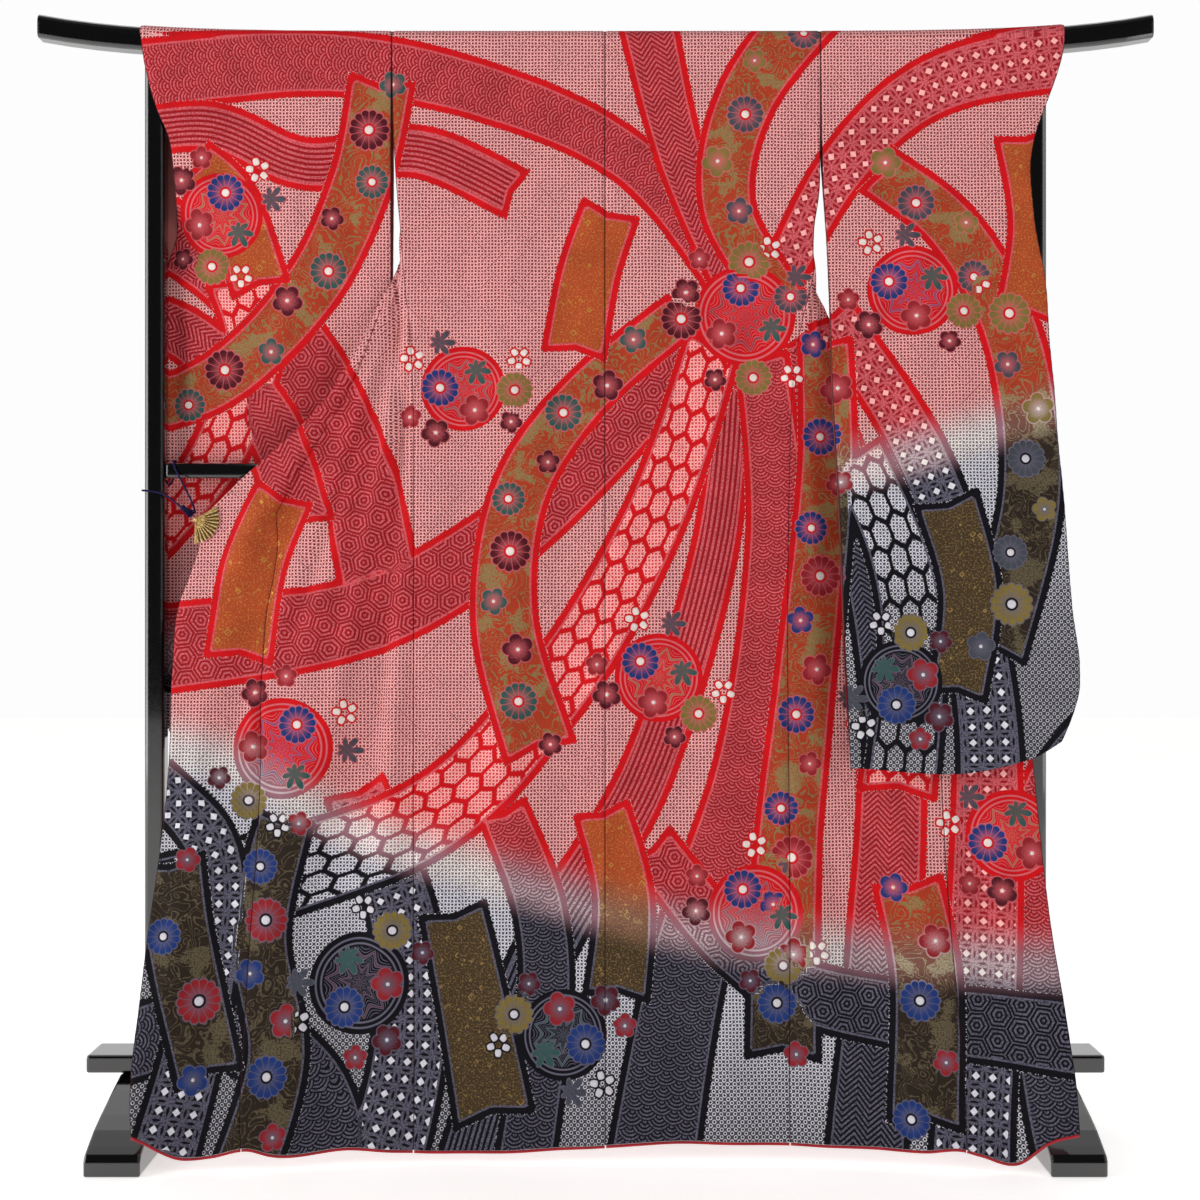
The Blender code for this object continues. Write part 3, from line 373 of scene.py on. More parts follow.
def cloth_mesh(place, across, down, width):
    """A grid of cloth through place(u, rows), with each point's height when flat and its way to a seam."""
    bm = bmesh.new()
    columns, rows = len(across) - 1, len(down) - 1
    bmesh.ops.create_grid(bm, x_segments=columns, y_segments=rows, size=1.0)
    at = np.array([v.co[:2] for v in bm.verts])
    column = np.rint((at[:, 0] + 1) / 2 * columns).astype(int)
    row = np.rint((at[:, 1] + 1) / 2 * rows).astype(int)
    points = place(across[column], down[row])
    for vert, point in zip(bm.verts, points):
        vert.co = point
    turn = down[row][:, 0]
    height = np.where(turn > 0, FLANK_Z + TURN_RADIUS * np.radians(turn), points[:, 2])
    return bm, points, height, width * np.minimum(across[column], 1 - across[column])


def columns_of(width):
    """Column stops about a cell apart, and closer beside each seam."""
    inner = np.linspace(0.0, 1.0, max(int(width / CELL), 6) + 1)
    beside = np.array(SEAM_COLUMNS) / width
    return np.unique(np.concatenate([beside, 1 - beside, inner]))


# The design is laid out flat on the hanging garment, in metres across and up, and crosses the seams.
# Long ribbons fan out from a ball wound of silk thread, and smaller balls lie among flowers.
# Each layer has its ribbons: the filling, the half widths at both ends, and the points that they pass.
FILLINGS = ("field", "waves", "hexagons", "circles", "chevrons", "stripes", "tiles", "vine", "brocade",
            "ball")
BLOOMS = ("chrysanthemum", "plum", "maple", "knots")
LAID = {
    "under": (
        ("waves", 0.028, 0.048, ((0.2, 1.22), (0.06, 1.4), (-0.14, 1.5), (-0.4, 1.55), (-0.74, 1.52))),
        ("circles", 0.026, 0.048, ((0.26, 1.22), (0.36, 1.4), (0.5, 1.52), (0.74, 1.57))),
        ("hexagons", 0.036, 0.06, ((0.16, 1.16), (0.0, 0.98), (-0.16, 0.84), (-0.36, 0.74), (-0.72, 0.69))),
        ("stripes", 0.022, 0.044, ((0.2, 1.12), (0.17, 0.84), (0.07, 0.52), (-0.08, 0.26), (-0.18, -0.04))),
        ("chevrons", 0.03, 0.05, ((0.28, 1.14), (0.37, 0.9), (0.42, 0.58), (0.4, 0.26), (0.36, -0.04))),
        ("hexagons", 0.044, 0.052,
         ((-0.76, 1.36), (-0.58, 1.28), (-0.44, 1.14), (-0.35, 0.97), (-0.31, 0.8))),
        ("waves", 0.04, 0.056, ((-0.72, 0.14), (-0.52, 0.18), (-0.4, 0.1), (-0.35, -0.04))),
        ("waves", 0.034, 0.044, ((0.74, 0.62), (0.64, 0.5), (0.61, 0.3), (0.64, -0.02))),
        ("circles", 0.04, 0.052, ((-0.34, 0.5), (-0.27, 0.32), (-0.26, 0.14), (-0.3, -0.04))),
    ),
    "middle": (
        ("chevrons", 0.024, 0.038, ((0.19, 1.24), (0.12, 1.42), (0.06, 1.68))),
        ("tiles", 0.036, 0.062, ((0.17, 1.14), (0.08, 0.88), (-0.07, 0.63), (-0.28, 0.44), (-0.72, 0.32))),
        ("waves", 0.032, 0.058, ((0.24, 1.12), (0.26, 0.86), (0.22, 0.54), (0.13, 0.26), (0.07, -0.04))),
        ("circles", 0.03, 0.052, ((0.34, 1.18), (0.48, 0.94), (0.55, 0.62), (0.54, 0.3), (0.5, -0.04))),
        ("chevrons", 0.032, 0.04, ((-0.76, 1.19), (-0.62, 1.17), (-0.486, 1.045), (-0.422, 0.88))),
        ("stripes", 0.028, 0.032,
         ((-0.72, 1.437), (-0.56, 1.457), (-0.42, 1.403), (-0.26, 1.42), (-0.12, 1.36))),
        ("tiles", 0.034, 0.044, ((-0.66, 0.86), (-0.56, 0.98), (-0.5, 1.14), (-0.52, 1.24))),
        ("waves", 0.03, 0.036, ((-0.13, 0.47), (-0.08, 0.34), (-0.07, 0.2), (-0.1, -0.02))),
    ),
    "upper": (
        ("vine", 0.03, 0.044, ((0.27, 1.2), (0.19, 1.34), (0.22, 1.5), (0.34, 1.66))),
        ("vine", 0.028, 0.046, ((0.12, 1.18), (-0.02, 1.06), (-0.11, 0.92), (-0.13, 0.74), (-0.08, 0.56))),
        ("vine", 0.032, 0.046, ((0.33, 1.14), (0.33, 0.94), (0.3, 0.66), (0.27, 0.4), (0.26, 0.14))),
        ("vine", 0.034, 0.044, ((0.41, 1.39), (0.52, 1.3), (0.6, 1.14), (0.62, 0.92), (0.56, 0.7))),
        ("vine", 0.034, 0.042, ((-0.74, 1.04), (-0.56, 1.09), (-0.42, 1.22), (-0.34, 1.38), (-0.31, 1.52))),
        ("vine", 0.036, 0.04, ((-0.44, 0.46), (-0.47, 0.3), (-0.44, 0.14), (-0.48, -0.02))),
        ("circles", 0.03, 0.04, ((-0.66, 0.54), (-0.54, 0.42), (-0.54, 0.24), (-0.58, 0.02))),
        ("hexagons", 0.032, 0.046, ((0.08, 0.42), (0.2, 0.28), (0.34, 0.21), (0.68, 0.17))),
        ("tiles", 0.038, 0.048, ((0.37, 0.98), (0.428, 0.84), (0.448, 0.7), (0.428, 0.5))),
    ),
    "patch": (
        ("brocade", 0.037, 0.04, ((0.02, 1.33), (-0.01, 1.24), (-0.03, 1.13))),
        ("brocade", 0.038, 0.043, ((-0.45, 0.92), (-0.49, 0.82), (-0.51, 0.69))),
        ("vine", 0.044, 0.04, ((-0.6, 0.4), (-0.58, 0.29), (-0.53, 0.12))),
        ("brocade", 0.042, 0.05, ((-0.2, 0.33), (-0.17, 0.2), (-0.14, 0.06))),
        ("brocade", 0.034, 0.04, ((0.01, 0.47), (0.04, 0.35), (0.03, 0.22))),
        ("vine", 0.042, 0.044, ((0.44, 0.37), (0.46, 0.24), (0.45, 0.06))),
        ("brocade", 0.04, 0.036, ((0.5, 0.91), (0.53, 0.78), (0.51, 0.64))),
        ("brocade", 0.036, 0.04, ((0.62, 1.44), (0.64, 1.31), (0.62, 1.18))),
        ("brocade", 0.034, 0.038, ((-0.58, 1.4), (-0.53, 1.35), (-0.49, 1.23))),
    ),
}
RIBBONS = [(layer, *ribbon) for layer, laid in LAID.items() for ribbon in laid]
# A figure has its middle, its size, its tilt in degrees, what it is, and its colour.
FIGURES = (
    (0.215, 1.18, 0.068, 10, "ball", 0), (-0.19, 1.075, 0.056, 30, "ball", 3),
    (-0.445, 0.56, 0.066, 0, "ball", 1), (0.09, 0.66, 0.058, 20, "ball", 2),
    (-0.33, 0.235, 0.064, 45, "ball", 0), (0.225, 0.33, 0.062, 15, "ball", 5),
    (0.455, 1.215, 0.06, 25, "ball", 1), (0.585, 0.44, 0.058, 35, "ball", 2),
    (-0.545, 1.33, 0.056, 5, "ball", 2), (0.43, 0.655, 0.054, 50, "ball", 0),
    (-0.045, 0.165, 0.056, 70, "ball", 3),
)
# Along a vine, each flower in turn: how far aside it lies, its size, and what it is.
ALONG = (
    (0.2, 0.032, "chrysanthemum"), (-0.5, 0.022, "plum"), (0.45, 0.025, "plum"),
    (-0.25, 0.029, "chrysanthemum"), (0.6, 0.019, "plum"), (-0.45, 0.026, "chrysanthemum"),
)
# Round a ball: the turn in degrees, how far out in ball sizes, the size, what it is, and its colour.
AROUND = (
    (58, 0.6, 0.029, "chrysanthemum", 1), (178, 0.62, 0.025, "plum", 4), (298, 0.6, 0.027, "maple", 3),
    (118, 1.34, 0.023, "plum", 0), (238, 1.32, 0.028, "chrysanthemum", 2), (358, 1.36, 0.026, "maple", 5),
    (30, 1.52, 0.021, "knots", 6), (88, 1.55, 0.018, "plum", 4), (268, 1.62, 0.02, "knots", 6),
    (205, 1.5, 0.018, "plum", 0),
)
VINE_STEP = 0.061
# The red dips into navy below these lines, one for the body and one for each sleeve.
NAVY_LINE = {
    "body": {
        "x": (-0.66, -0.52, -0.36, -0.2, -0.04, 0.14, 0.36, 0.66),
        "z": (0.575, 0.535, 0.45, 0.395, 0.345, 0.3, 0.272, 0.262),
    },
    "right": {"x": (0.32, 0.45, 0.56, 0.69), "z": (0.95, 0.975, 1.01, 1.055)},
    "left": {"x": (-0.67, -0.5, -0.3), "z": (0.7, 0.68, 0.66)},
}
LAYERS = ("under", "middle", "upper", "patch", "figure")
NOTCH = 0.22
MARGIN = 0.009


def ribbon_spot(at, ribbon):
    """For each point: how far it lies inside the ribbon, how far across it, and how far along it."""
    _, _, start, stop, knots = ribbon
    line = smooth_path([(x, z, 0.0) for x, z in knots], 0.016)[:, :2]
    first, run = line[:-1], np.diff(line, axis=0)
    size = np.linalg.norm(run, axis=1)
    begin = np.concatenate([[0], np.cumsum(size)[:-1]])
    off = at[:, None] - first
    share = (off * run).sum(-1) / size**2
    low = np.where(np.arange(len(run)) == 0, -9.0, 0.0)
    high = np.where(np.arange(len(run)) == len(run) - 1, 9.0, 1.0)
    share = np.clip(share, low, high)
    gap = off - share[..., None] * run
    nearest = np.linalg.norm(gap, axis=-1).argmin(axis=1)
    pick = np.arange(len(at)), nearest
    side = run[nearest, 0] * off[pick][:, 1] - run[nearest, 1] * off[pick][:, 0]
    across = np.sign(side) * np.linalg.norm(gap[pick], axis=1)
    along = begin[nearest] + share[pick] * size[nearest]
    total = size.sum()
    half = start + (stop - start) * np.clip(along / total, 0.0, 1.0)
    notch = NOTCH * (half - np.abs(across))
    inside = np.minimum(half - np.abs(across), np.minimum(total - along - notch, along - notch))
    return inside, across, along


def place_flowers():
    """Every flower: in turn along each vine, and round each ball."""
    flowers = []
    for first, (_, filling, half, _, knots) in enumerate(RIBBONS):
        if filling != "vine":
            continue
        line = smooth_path([(x, z, 0.0) for x, z in knots], VINE_STEP)[:, :2]
        for k, (point, turn) in enumerate(zip(line, np.gradient(line, axis=0))):
            aside, size, kind = ALONG[(k + first) % len(ALONG)]
            x, z = point + np.array((-turn[1], turn[0])) / np.hypot(*turn) * aside * half
            flowers.append((x, z, size, 40 * k, kind, (3 * k + first) % 6))
    for x, z, size, tilt, _, colour in FIGURES:
        for turn, out, reach, kind, tint in AROUND:
            angle = math.radians(turn + 4 * tilt)
            spot = (x + out * size * math.cos(angle), z + out * size * math.sin(angle))
            flowers.append((*spot, reach, turn, kind, tint))
    return flowers


FLOWERS = place_flowers()


def paint_layers(at):
    """Each layer's filling at each point: inside, across, along, and the code of its filling."""
    layers = {name: np.tile(np.array((-1.0, 0.0, 0.0, 0.0)), (len(at), 1)) for name in LAYERS + ("flower",)}
    for ribbon in RIBBONS:
        knots = np.array(ribbon[4])
        reach = max(ribbon[2:4]) + 4 * MARGIN
        near = np.flatnonzero(((at > knots.min(0) - reach) & (at < knots.max(0) + reach)).all(1))
        if not len(near):
            continue
        inside, across, along = ribbon_spot(at[near], ribbon)
        new = np.stack([inside, across, along, np.full(len(near), 10.0 * FILLINGS.index(ribbon[1]))], 1)
        layer = layers[ribbon[0]]
        layer[near] = np.where((inside > layer[near, 0])[:, None], new, layer[near])
    for name, figures, kinds in (("figure", FIGURES, FILLINGS), ("flower", FLOWERS, BLOOMS)):
        for x, z, size, tilt, kind, colour in figures:
            off = at - (x, z)
            turn = math.radians(tilt)
            across = (off[:, 0] * math.cos(turn) + off[:, 1] * math.sin(turn)) / size
            along = (off[:, 1] * math.cos(turn) - off[:, 0] * math.sin(turn)) / size
            inside = size - np.hypot(off[:, 0], off[:, 1])
            new = np.stack([inside, across, along, np.full(len(at), 10.0 * kinds.index(kind) + colour)], 1)
            layer = layers[name]
            layer[:] = np.where((inside > layer[:, 0])[:, None], new, layer)
    return layers


# The cloth is silk crepe dyed in kanoko: tied by hand at thousands of tiny points before the dye, so
# that each point stays a pale square with a dark middle. The points fill the ground and stop in a
# jagged edge where a ribbon's plain margin starts. Real ones lie about 5 mm apart on the diagonal.
# They are drawn coarser, 6.8 mm apart, so that they show.
DOT = 0.0068
DRIFT = 0.0026
FADED_FROM = (-0.065, 0.004)
NAVY_FROM = (0.0, 0.046)
SEAM_LINE = (0.0005, 0.0018)
CREPE_RELIEF = 0.001
OUTLINE = (0.0008, 0.003)
WAVE = 0.019
HEXAGON = 0.034
CIRCLE = 0.032
CHEVRON = (0.036, 0.0078)
STRIPE = 0.0074
TINTS = ("#4e101c", "#1c3470", "#7c6a34", "#30524e", "#8e1f26", "#434650", "#f0e9e2")

silk, t = new_material("Kanoko tie-dyed silk crepe")
plan = add(t, "Attribute", attribute_name="plan").node.outputs["Vector"]
x, y, dye = add(t, "SeparateXYZ", plan).node.outputs
flat = add(t, "CombineXYZ", x, y, 0.0)
drift = add(t, "TexNoise", flat, 55.0, 2.0).node.outputs["Color"]
drift = add(t, "VectorMath.SUBTRACT", drift, (0.5, 0.5, 0.5))
drift = add(t, "VectorMath.MULTIPLY", drift, (DRIFT, DRIFT, 0.0))
loose = add(t, "VectorMath.ADD", flat, drift)
mottle = add(t, "TexNoise", flat, 24.0, 4.0)
grain = add(t, "TexNoise", flat, 400.0, 1.0)


def dyed(red, fading, navy):
    """A colour set for the red cloth, for the pale band where the red fades out, and for the navy."""
    first = add(t, "Blend", add(t, "Step", dye, *FADED_FROM), linear(red), linear(fading))
    return add(t, "Blend", add(t, "Step", dye, *NAVY_FROM), first, linear(navy))


# The ties: pale rounded squares with a dark pin in each and dark gaps at their corners. Here and there
# a dark line parts two rows of them. Lower down they shrink and the navy takes more of the ground.
cells = add(t, "VectorRotate", loose, (0.0, 0.0, 0.0), (0.0, 0.0, 1.0), math.radians(45))
cells = add(t, "VectorMath.DIVIDE", cells, (DOT, DOT, 1.0))
breaks = []
for stretch in ((0.22, 0.9, 0.0), (0.9, 0.3, 0.0)):
    streak = add(t, "TexNoise", add(t, "VectorMath.MULTIPLY", cells, stretch), 1.0, 1.0)
    breaks.append(add(t, "Step", streak, 0.56, 0.63, 0.0, 0.85))
cells = add(t, "VectorMath.SUBTRACT", add(t, "VectorMath.FRACTION", cells), (0.5, 0.5, 0.0))
ring = add(t, "VectorMath.LENGTH", cells)
side_x, side_y, _ = add(t, "SeparateXYZ", add(t, "VectorMath.ABSOLUTE", cells)).node.outputs
square = add(t, "MAXIMUM", side_x, side_y)
shrink = add(t, "Step", dye, 0.05, 0.34, 0.0, 0.13)
pin = add(t, "Step", ring, 0.16, 0.28, 1.0, 0.0)
corner = add(t, "Step", add(t, "ADD", ring, shrink), 0.43, 0.54, 0.0, 0.92)
lattice = add(t, "MAXIMUM", pin, corner)
for aside, streak in zip((side_y, side_x), breaks):
    parted = add(t, "MULTIPLY", add(t, "Step", aside, 0.38, 0.46), streak)
    lattice = add(t, "MAXIMUM", lattice, parted)
dot = add(t, "SUBTRACT", 1.0, lattice)
point = add(t, "Step", square, 0.0, 0.5, 1.0, 0.0)

# The top-most layer at each point gives its filling.
stack = add(t, "CombineXYZ", -1.0, 0.0, 0.0)
code = 0.0
for name in LAYERS:
    here = add(t, "Attribute", attribute_name=name).node.outputs
    depth = add(t, "SeparateXYZ", here["Vector"])
    over = add(t, "GREATER_THAN", depth, -0.005 if name == "figure" else -MARGIN)
    stack = add(t, "Mix.VECTOR", over, stack, here["Vector"])
    code = add(t, "Mix.FLOAT", over, code, here["Alpha"])
inside, across, along = add(t, "SeparateXYZ", stack).node.outputs
spot = add(t, "VectorMath.ADD", add(t, "CombineXYZ", across, along, 0.0), drift)
kind = add(t, "FLOOR", add(t, "MULTIPLY_ADD", code, 0.1, 0.02))
tint = add(t, "MULTIPLY_ADD", kind, -10.0, code)
on = {name: add(t, "COMPARE", kind, float(i), 0.4) for i, name in enumerate(FILLINGS)}
filled = {}

# Waves: rows of rings, each row half hidden by the row in front of it.
cells = add(t, "VectorMath.DIVIDE", spot, (WAVE, WAVE, 1.0))
across_cells, rows, _ = add(t, "SeparateXYZ", cells).node.outputs
rows = add(t, "MULTIPLY", rows, 2.0)
step = add(t, "MULTIPLY", add(t, "FRACT", rows), 0.5)
shift = add(t, "ADD", across_cells, add(t, "FLOOR", rows))
aside = add(t, "PINGPONG", add(t, "SUBTRACT", shift, 1.0), 1.0)
rings = []
for offset, base in ((aside, 0.5), (add(t, "SUBTRACT", 1.0, aside), 0.0), (aside, -0.5)):
    middle = add(t, "CombineXYZ", offset, add(t, "ADD", step, base), 0.0)
    rings.append(add(t, "VectorMath.LENGTH", middle))
wave = rings[2]
for nearer in rings[1::-1]:
    wave = add(t, "Mix.FLOAT", add(t, "LESS_THAN", nearer, 1.0), wave, nearer)
wave = add(t, "SINE", add(t, "MULTIPLY_ADD", wave, 8 * math.pi, -1.0))
filled["waves"] = add(t, "Step", wave, -0.35, 0.25)

# Hexagons: the nearer of two staggered lattices, ringed three times, or one pale tile in each.
TALL = math.sqrt(3)
near = []
drawn_out = add(t, "Mix.VECTOR", on["tiles"], (1.0, 1.0, 0.0), (1.25, 0.72, 0.0))
for stagger in (0.0, 0.5):
    cells = add(t, "VectorMath.DIVIDE", spot, (HEXAGON, HEXAGON * TALL, 1.0))
    cells = add(t, "VectorMath.MULTIPLY", cells, drawn_out)
    cells = add(t, "VectorMath.FRACTION", add(t, "VectorMath.ADD", cells, (stagger, stagger, 0.0)))
    off = add(t, "VectorMath.SUBTRACT", cells, (0.5, 0.5, 0.0))
    near.append(add(t, "VectorMath.MULTIPLY", off, (1.0, TALL, 0.0)))
nearer = add(t, "LESS_THAN", add(t, "VectorMath.LENGTH", near[0]), add(t, "VectorMath.LENGTH", near[1]))
cell = add(t, "VectorMath.ABSOLUTE", add(t, "Mix.VECTOR", nearer, near[1], near[0]))
slant = add(t, "VectorMath.DOT_PRODUCT", cell, (0.5, TALL / 2, 0.0)).node.outputs["Value"]
hexagon = add(t, "MAXIMUM", add(t, "SeparateXYZ", cell), slant)
rings = add(t, "SINE", add(t, "MULTIPLY_ADD", hexagon, 12 * math.pi, 0.9))
filled["hexagons"] = add(t, "Step", rings, -0.3, 0.3)
tile = add(t, "Step", hexagon, 0.38, 0.43, 1.0, 0.0)

# Circles: two lattices of rings that cross to make petals, with a pale square in each middle.
cells = add(t, "VectorRotate", spot, (0.0, 0.0, 0.0), (0.0, 0.0, 1.0), math.radians(45))
cells = add(t, "VectorMath.FRACTION", add(t, "VectorMath.DIVIDE", cells, (CIRCLE, CIRCLE, 1.0)))
off = add(t, "VectorMath.ABSOLUTE", add(t, "VectorMath.SUBTRACT", cells, (0.5, 0.5, 0.0)))
filled["circles"], squares = 0.0, 0.0
for lobe in (off, add(t, "VectorMath.SUBTRACT", (0.5, 0.5, 0.0), off)):
    gap = add(t, "ABSOLUTE", add(t, "SUBTRACT", add(t, "VectorMath.LENGTH", lobe), 0.47))
    band = add(t, "Step", gap, 0.045, 0.08, 1.0, 0.0)
    side_x, side_y, _ = add(t, "SeparateXYZ", lobe).node.outputs
    block = add(t, "Step", add(t, "MAXIMUM", side_x, side_y), 0.1, 0.14, 1.0, 0.0)
    filled["circles"] = add(t, "MAXIMUM", filled["circles"], band)
    squares = add(t, "MAXIMUM", squares, block)

# Chevrons run in zigzags along the ribbon, and stripes run straight.
zigzag = add(t, "ADD", along, add(t, "PINGPONG", across, CHEVRON[0] / 2))
zigzag = add(t, "PINGPONG", add(t, "DIVIDE", zigzag, CHEVRON[1]), 0.5)
filled["chevrons"] = add(t, "Step", zigzag, 0.2, 0.3)
straight = add(t, "PINGPONG", add(t, "DIVIDE", across, STRIPE), 0.5)
filled["stripes"] = add(t, "Step", straight, 0.2, 0.3)

# Vines: curling lines and leaves on a brown-orange ground. Brocade: small diamonds and specks of gold.
curl = add(t, "TexNoise", loose, 34.0, 1.0, 0.5, 2.0, 1.0)
scroll = add(t, "PINGPONG", add(t, "MULTIPLY", curl, 9.0), 0.5)
scroll = add(t, "Step", scroll, 0.34, 0.42)
leaves = add(t, "Step", add(t, "MULTIPLY_ADD", grain, 0.1, mottle), 0.6, 0.64)
scroll = add(t, "MAXIMUM", scroll, leaves)
cluster = add(t, "TexVoronoi", loose, 72.0, 0.0, 0.5, 2.0, 0.75, distance="MANHATTAN")
bare = add(t, "Step", add(t, "TexNoise", flat, 60.0, 1.0), 0.44, 0.58)
diamond = add(t, "ABSOLUTE", add(t, "SUBTRACT", cluster, 0.36))
diamond = add(t, "Step", diamond, 0.05, 0.12, 1.0, 0.0)
heart = add(t, "Step", cluster, 0.05, 0.13, 1.0, 0.0)
speck = add(t, "Step", grain, 0.5, 0.68, 0.1, 0.55)
fleck = add(t, "MULTIPLY", add(t, "MAXIMUM", diamond, heart), bare)
fleck = add(t, "MAXIMUM", fleck, speck)

# Balls are wound in star-shaped bands inside a double hoop, on a disc of radius 1.
reach = add(t, "VectorMath.LENGTH", spot)
angle = add(t, "ARCTAN2", along, across)
star = add(t, "ABSOLUTE", add(t, "COSINE", add(t, "MULTIPLY", angle, 5.0)))
star = add(t, "MULTIPLY_ADD", star, 0.2, reach)
core = add(t, "Step", reach, 0.76, 0.78, 1.0, 0.0)
outer = add(t, "SUBTRACT", 1.0, core)
bands = []
for way, turns, low, high, within in (
        (star, 3.4, 0.3, 0.36, core), (star, 13.6, 0.3, 0.4, core), (reach, 9.0, 0.26, 0.36, outer)):
    wind = add(t, "PINGPONG", add(t, "MULTIPLY", way, turns), 0.5)
    bands.append(add(t, "MULTIPLY", add(t, "Step", wind, low, high), within))
band, strand, hoops = bands

# Flowers are drawn on a disc of radius 1, by the angle and the distance from the middle.
flower_at = add(t, "Attribute", attribute_name="flower").node.outputs
depth, across_disc, along_disc = add(t, "SeparateXYZ", flower_at["Vector"]).node.outputs
disc = add(t, "CombineXYZ", across_disc, along_disc, 0.0)
bloom = add(t, "FLOOR", add(t, "MULTIPLY_ADD", flower_at["Alpha"], 0.1, 0.02))
bloom_tint = add(t, "MULTIPLY_ADD", bloom, -10.0, flower_at["Alpha"])
showing = add(t, "LESS_THAN", add(t, "PINGPONG", flower_at["Alpha"], 0.5), 0.04)
showing = add(t, "MULTIPLY", showing, add(t, "GREATER_THAN", depth, 0.0))
for i, name in enumerate(BLOOMS):
    on[name] = add(t, "MULTIPLY", add(t, "COMPARE", bloom, float(i), 0.4), showing)
angle = add(t, "ARCTAN2", along_disc, across_disc)
far = add(t, "VectorMath.LENGTH", disc)
ray = add(t, "ABSOLUTE", add(t, "COSINE", add(t, "MULTIPLY", angle, 7.0)))
tip = add(t, "SUBTRACT", far, add(t, "MULTIPLY_ADD", add(t, "POWER", ray, 0.6), 0.14, 0.82))
aster = add(t, "Step", tip, 0.0, 0.04, 1.0, 0.0)
vein = add(t, "Step", add(t, "MULTIPLY", ray, far), 0.06, 0.15, 1.0, 0.0)
aster_line = add(t, "MAXIMUM", vein, add(t, "Step", tip, -0.07, -0.03))
lobe = add(t, "PINGPONG", angle, math.pi / 5)
lobe_x = add(t, "MULTIPLY_ADD", far, add(t, "COSINE", lobe), -0.54)
lobe_y = add(t, "MULTIPLY", far, add(t, "SINE", lobe))
petal = add(t, "VectorMath.LENGTH", add(t, "CombineXYZ", lobe_x, lobe_y, 0.0))
plum = add(t, "Step", petal, 0.4, 0.44, 1.0, 0.0)
plum_line = add(t, "Step", petal, 0.33, 0.38)
thorn = add(t, "ABSOLUTE", add(t, "COSINE", add(t, "MULTIPLY", angle, 3.5)))
thorn = add(t, "MULTIPLY", thorn, add(t, "MULTIPLY_ADD", add(t, "COSINE", angle), 0.22, 0.44))
leaf = add(t, "SUBTRACT", add(t, "SUBTRACT", far, thorn), 0.3)
maple = add(t, "Step", leaf, 0.0, 0.05, 1.0, 0.0)
maple_line = add(t, "Step", leaf, -0.08, -0.03)
knot_x = add(t, "ABSOLUTE", add(t, "SUBTRACT", lobe_x, 0.06))
knot_off = add(t, "MAXIMUM", add(t, "MULTIPLY", knot_x, 0.75), lobe_y)
knot_off = add(t, "MULTIPLY_ADD", petal, 0.5, add(t, "MULTIPLY", knot_off, 0.5))
knots = add(t, "Step", knot_off, 0.2, 0.24, 1.0, 0.0)
around = add(t, "Step", knot_off, 0.31, 0.34, 1.0, 0.0)

# Colour of the plain margins, the field of ties, the ribbons' inside and the lines on it.
ground = dyed("#ca0a14", "#966a76", "#08060e")
hollow = dyed("#660a16", "#665058", "#06070f")
deep = dyed("#960f18", "#805c68", "#08070f")
dots = dyed("#ffb2b0", "#f6eee8", "#e0dee8")
lines = dyed("#d26068", "#c4b0b4", "#625f70")
rust = dyed("#ac3a20", "#7c5248", "#2b2119")
olive = dyed("#82764c", "#a2977c", "#5c523e")
gold = dyed("#c08a40", "#bd9c68", "#9a7d4c")
pale = dyed("#ecdcd6", "#f0e8e0", "#d6d2da")

shade_off = add(t, "Step", dye, 0.12, 0.56, 0.0, 0.42)
shade_off = add(t, "ADD", shade_off, add(t, "Step", mottle, 0.38, 0.66, 0.0, 0.52))
worn = add(t, "Blend", shade_off, dots, add(t, "Blend", 0.45, dots, linear("#5c5a68")))
edge = add(t, "MapRange", ring, 0.15, 0.6, -MARGIN + 0.0024, -MARGIN - 0.002)
field = add(t, "LESS_THAN", inside, edge)
ribbon = add(t, "Step", inside, OUTLINE[1], OUTLINE[1] + 0.0008)
line = 0.0
for name, mask in filled.items():
    line = add(t, "MULTIPLY_ADD", mask, on[name], line)
line = add(t, "MULTIPLY", line, ribbon)
rim = add(t, "Step", inside, OUTLINE[0] - 0.0006, OUTLINE[0])
rim = add(t, "MULTIPLY", rim, add(t, "SUBTRACT", 1.0, add(t, "MAXIMUM", on["ball"], ribbon)))
line = add(t, "MAXIMUM", line, rim)
bead = add(t, "Step", grain, 0.34, 0.58, 0.35, 1.0)
tied = add(t, "MULTIPLY", add(t, "MULTIPLY", tile, dot), on["tiles"])
tied = add(t, "MULTIPLY_ADD", squares, on["circles"], tied)
brocade = add(t, "MULTIPLY", on["brocade"], ribbon)

# Colour of the flowers, which fade to grey near the middle, and of the balls and the white knots.
fade = add(t, "MULTIPLY_ADD", grain, 0.5, far)
fade = add(t, "Step", fade, 0.5, 1.0, 0.5, 0.0)
fade = add(t, "MULTIPLY", fade, add(t, "MULTIPLY_ADD", on["maple"], -0.8, 1.0))
shaded = []
for number, greyed in ((tint, 0.35), (bloom_tint, fade)):
    silks = add(t, "ValToRGB", add(t, "MULTIPLY_ADD", number, 0.125, 0.06)).node
    silks.color_ramp.interpolation = "CONSTANT"
    while len(silks.color_ramp.elements) < len(TINTS):
        silks.color_ramp.elements.new(1.0)
    for k, hexcode in enumerate(TINTS):
        silks.color_ramp.elements[k].position = k / 8
        silks.color_ramp.elements[k].color = linear(hexcode)
    shaded.append(add(t, "Blend", greyed, silks.outputs["Color"], lines))
wound = add(t, "Blend", band, ground, shaded[0])
wound = add(t, "Blend", add(t, "MULTIPLY", strand, 0.75), wound, lines)
wound = add(t, "Blend", hoops, wound, lines)
ball = add(t, "Step", reach, 0.99, 1.01, 1.0, 0.0)
wound = add(t, "Blend", ball, ground, wound)
eyelet = add(t, "Step", far, 0.27, 0.31, 1.0, 0.0)
white = add(t, "MULTIPLY", knots, on["knots"])
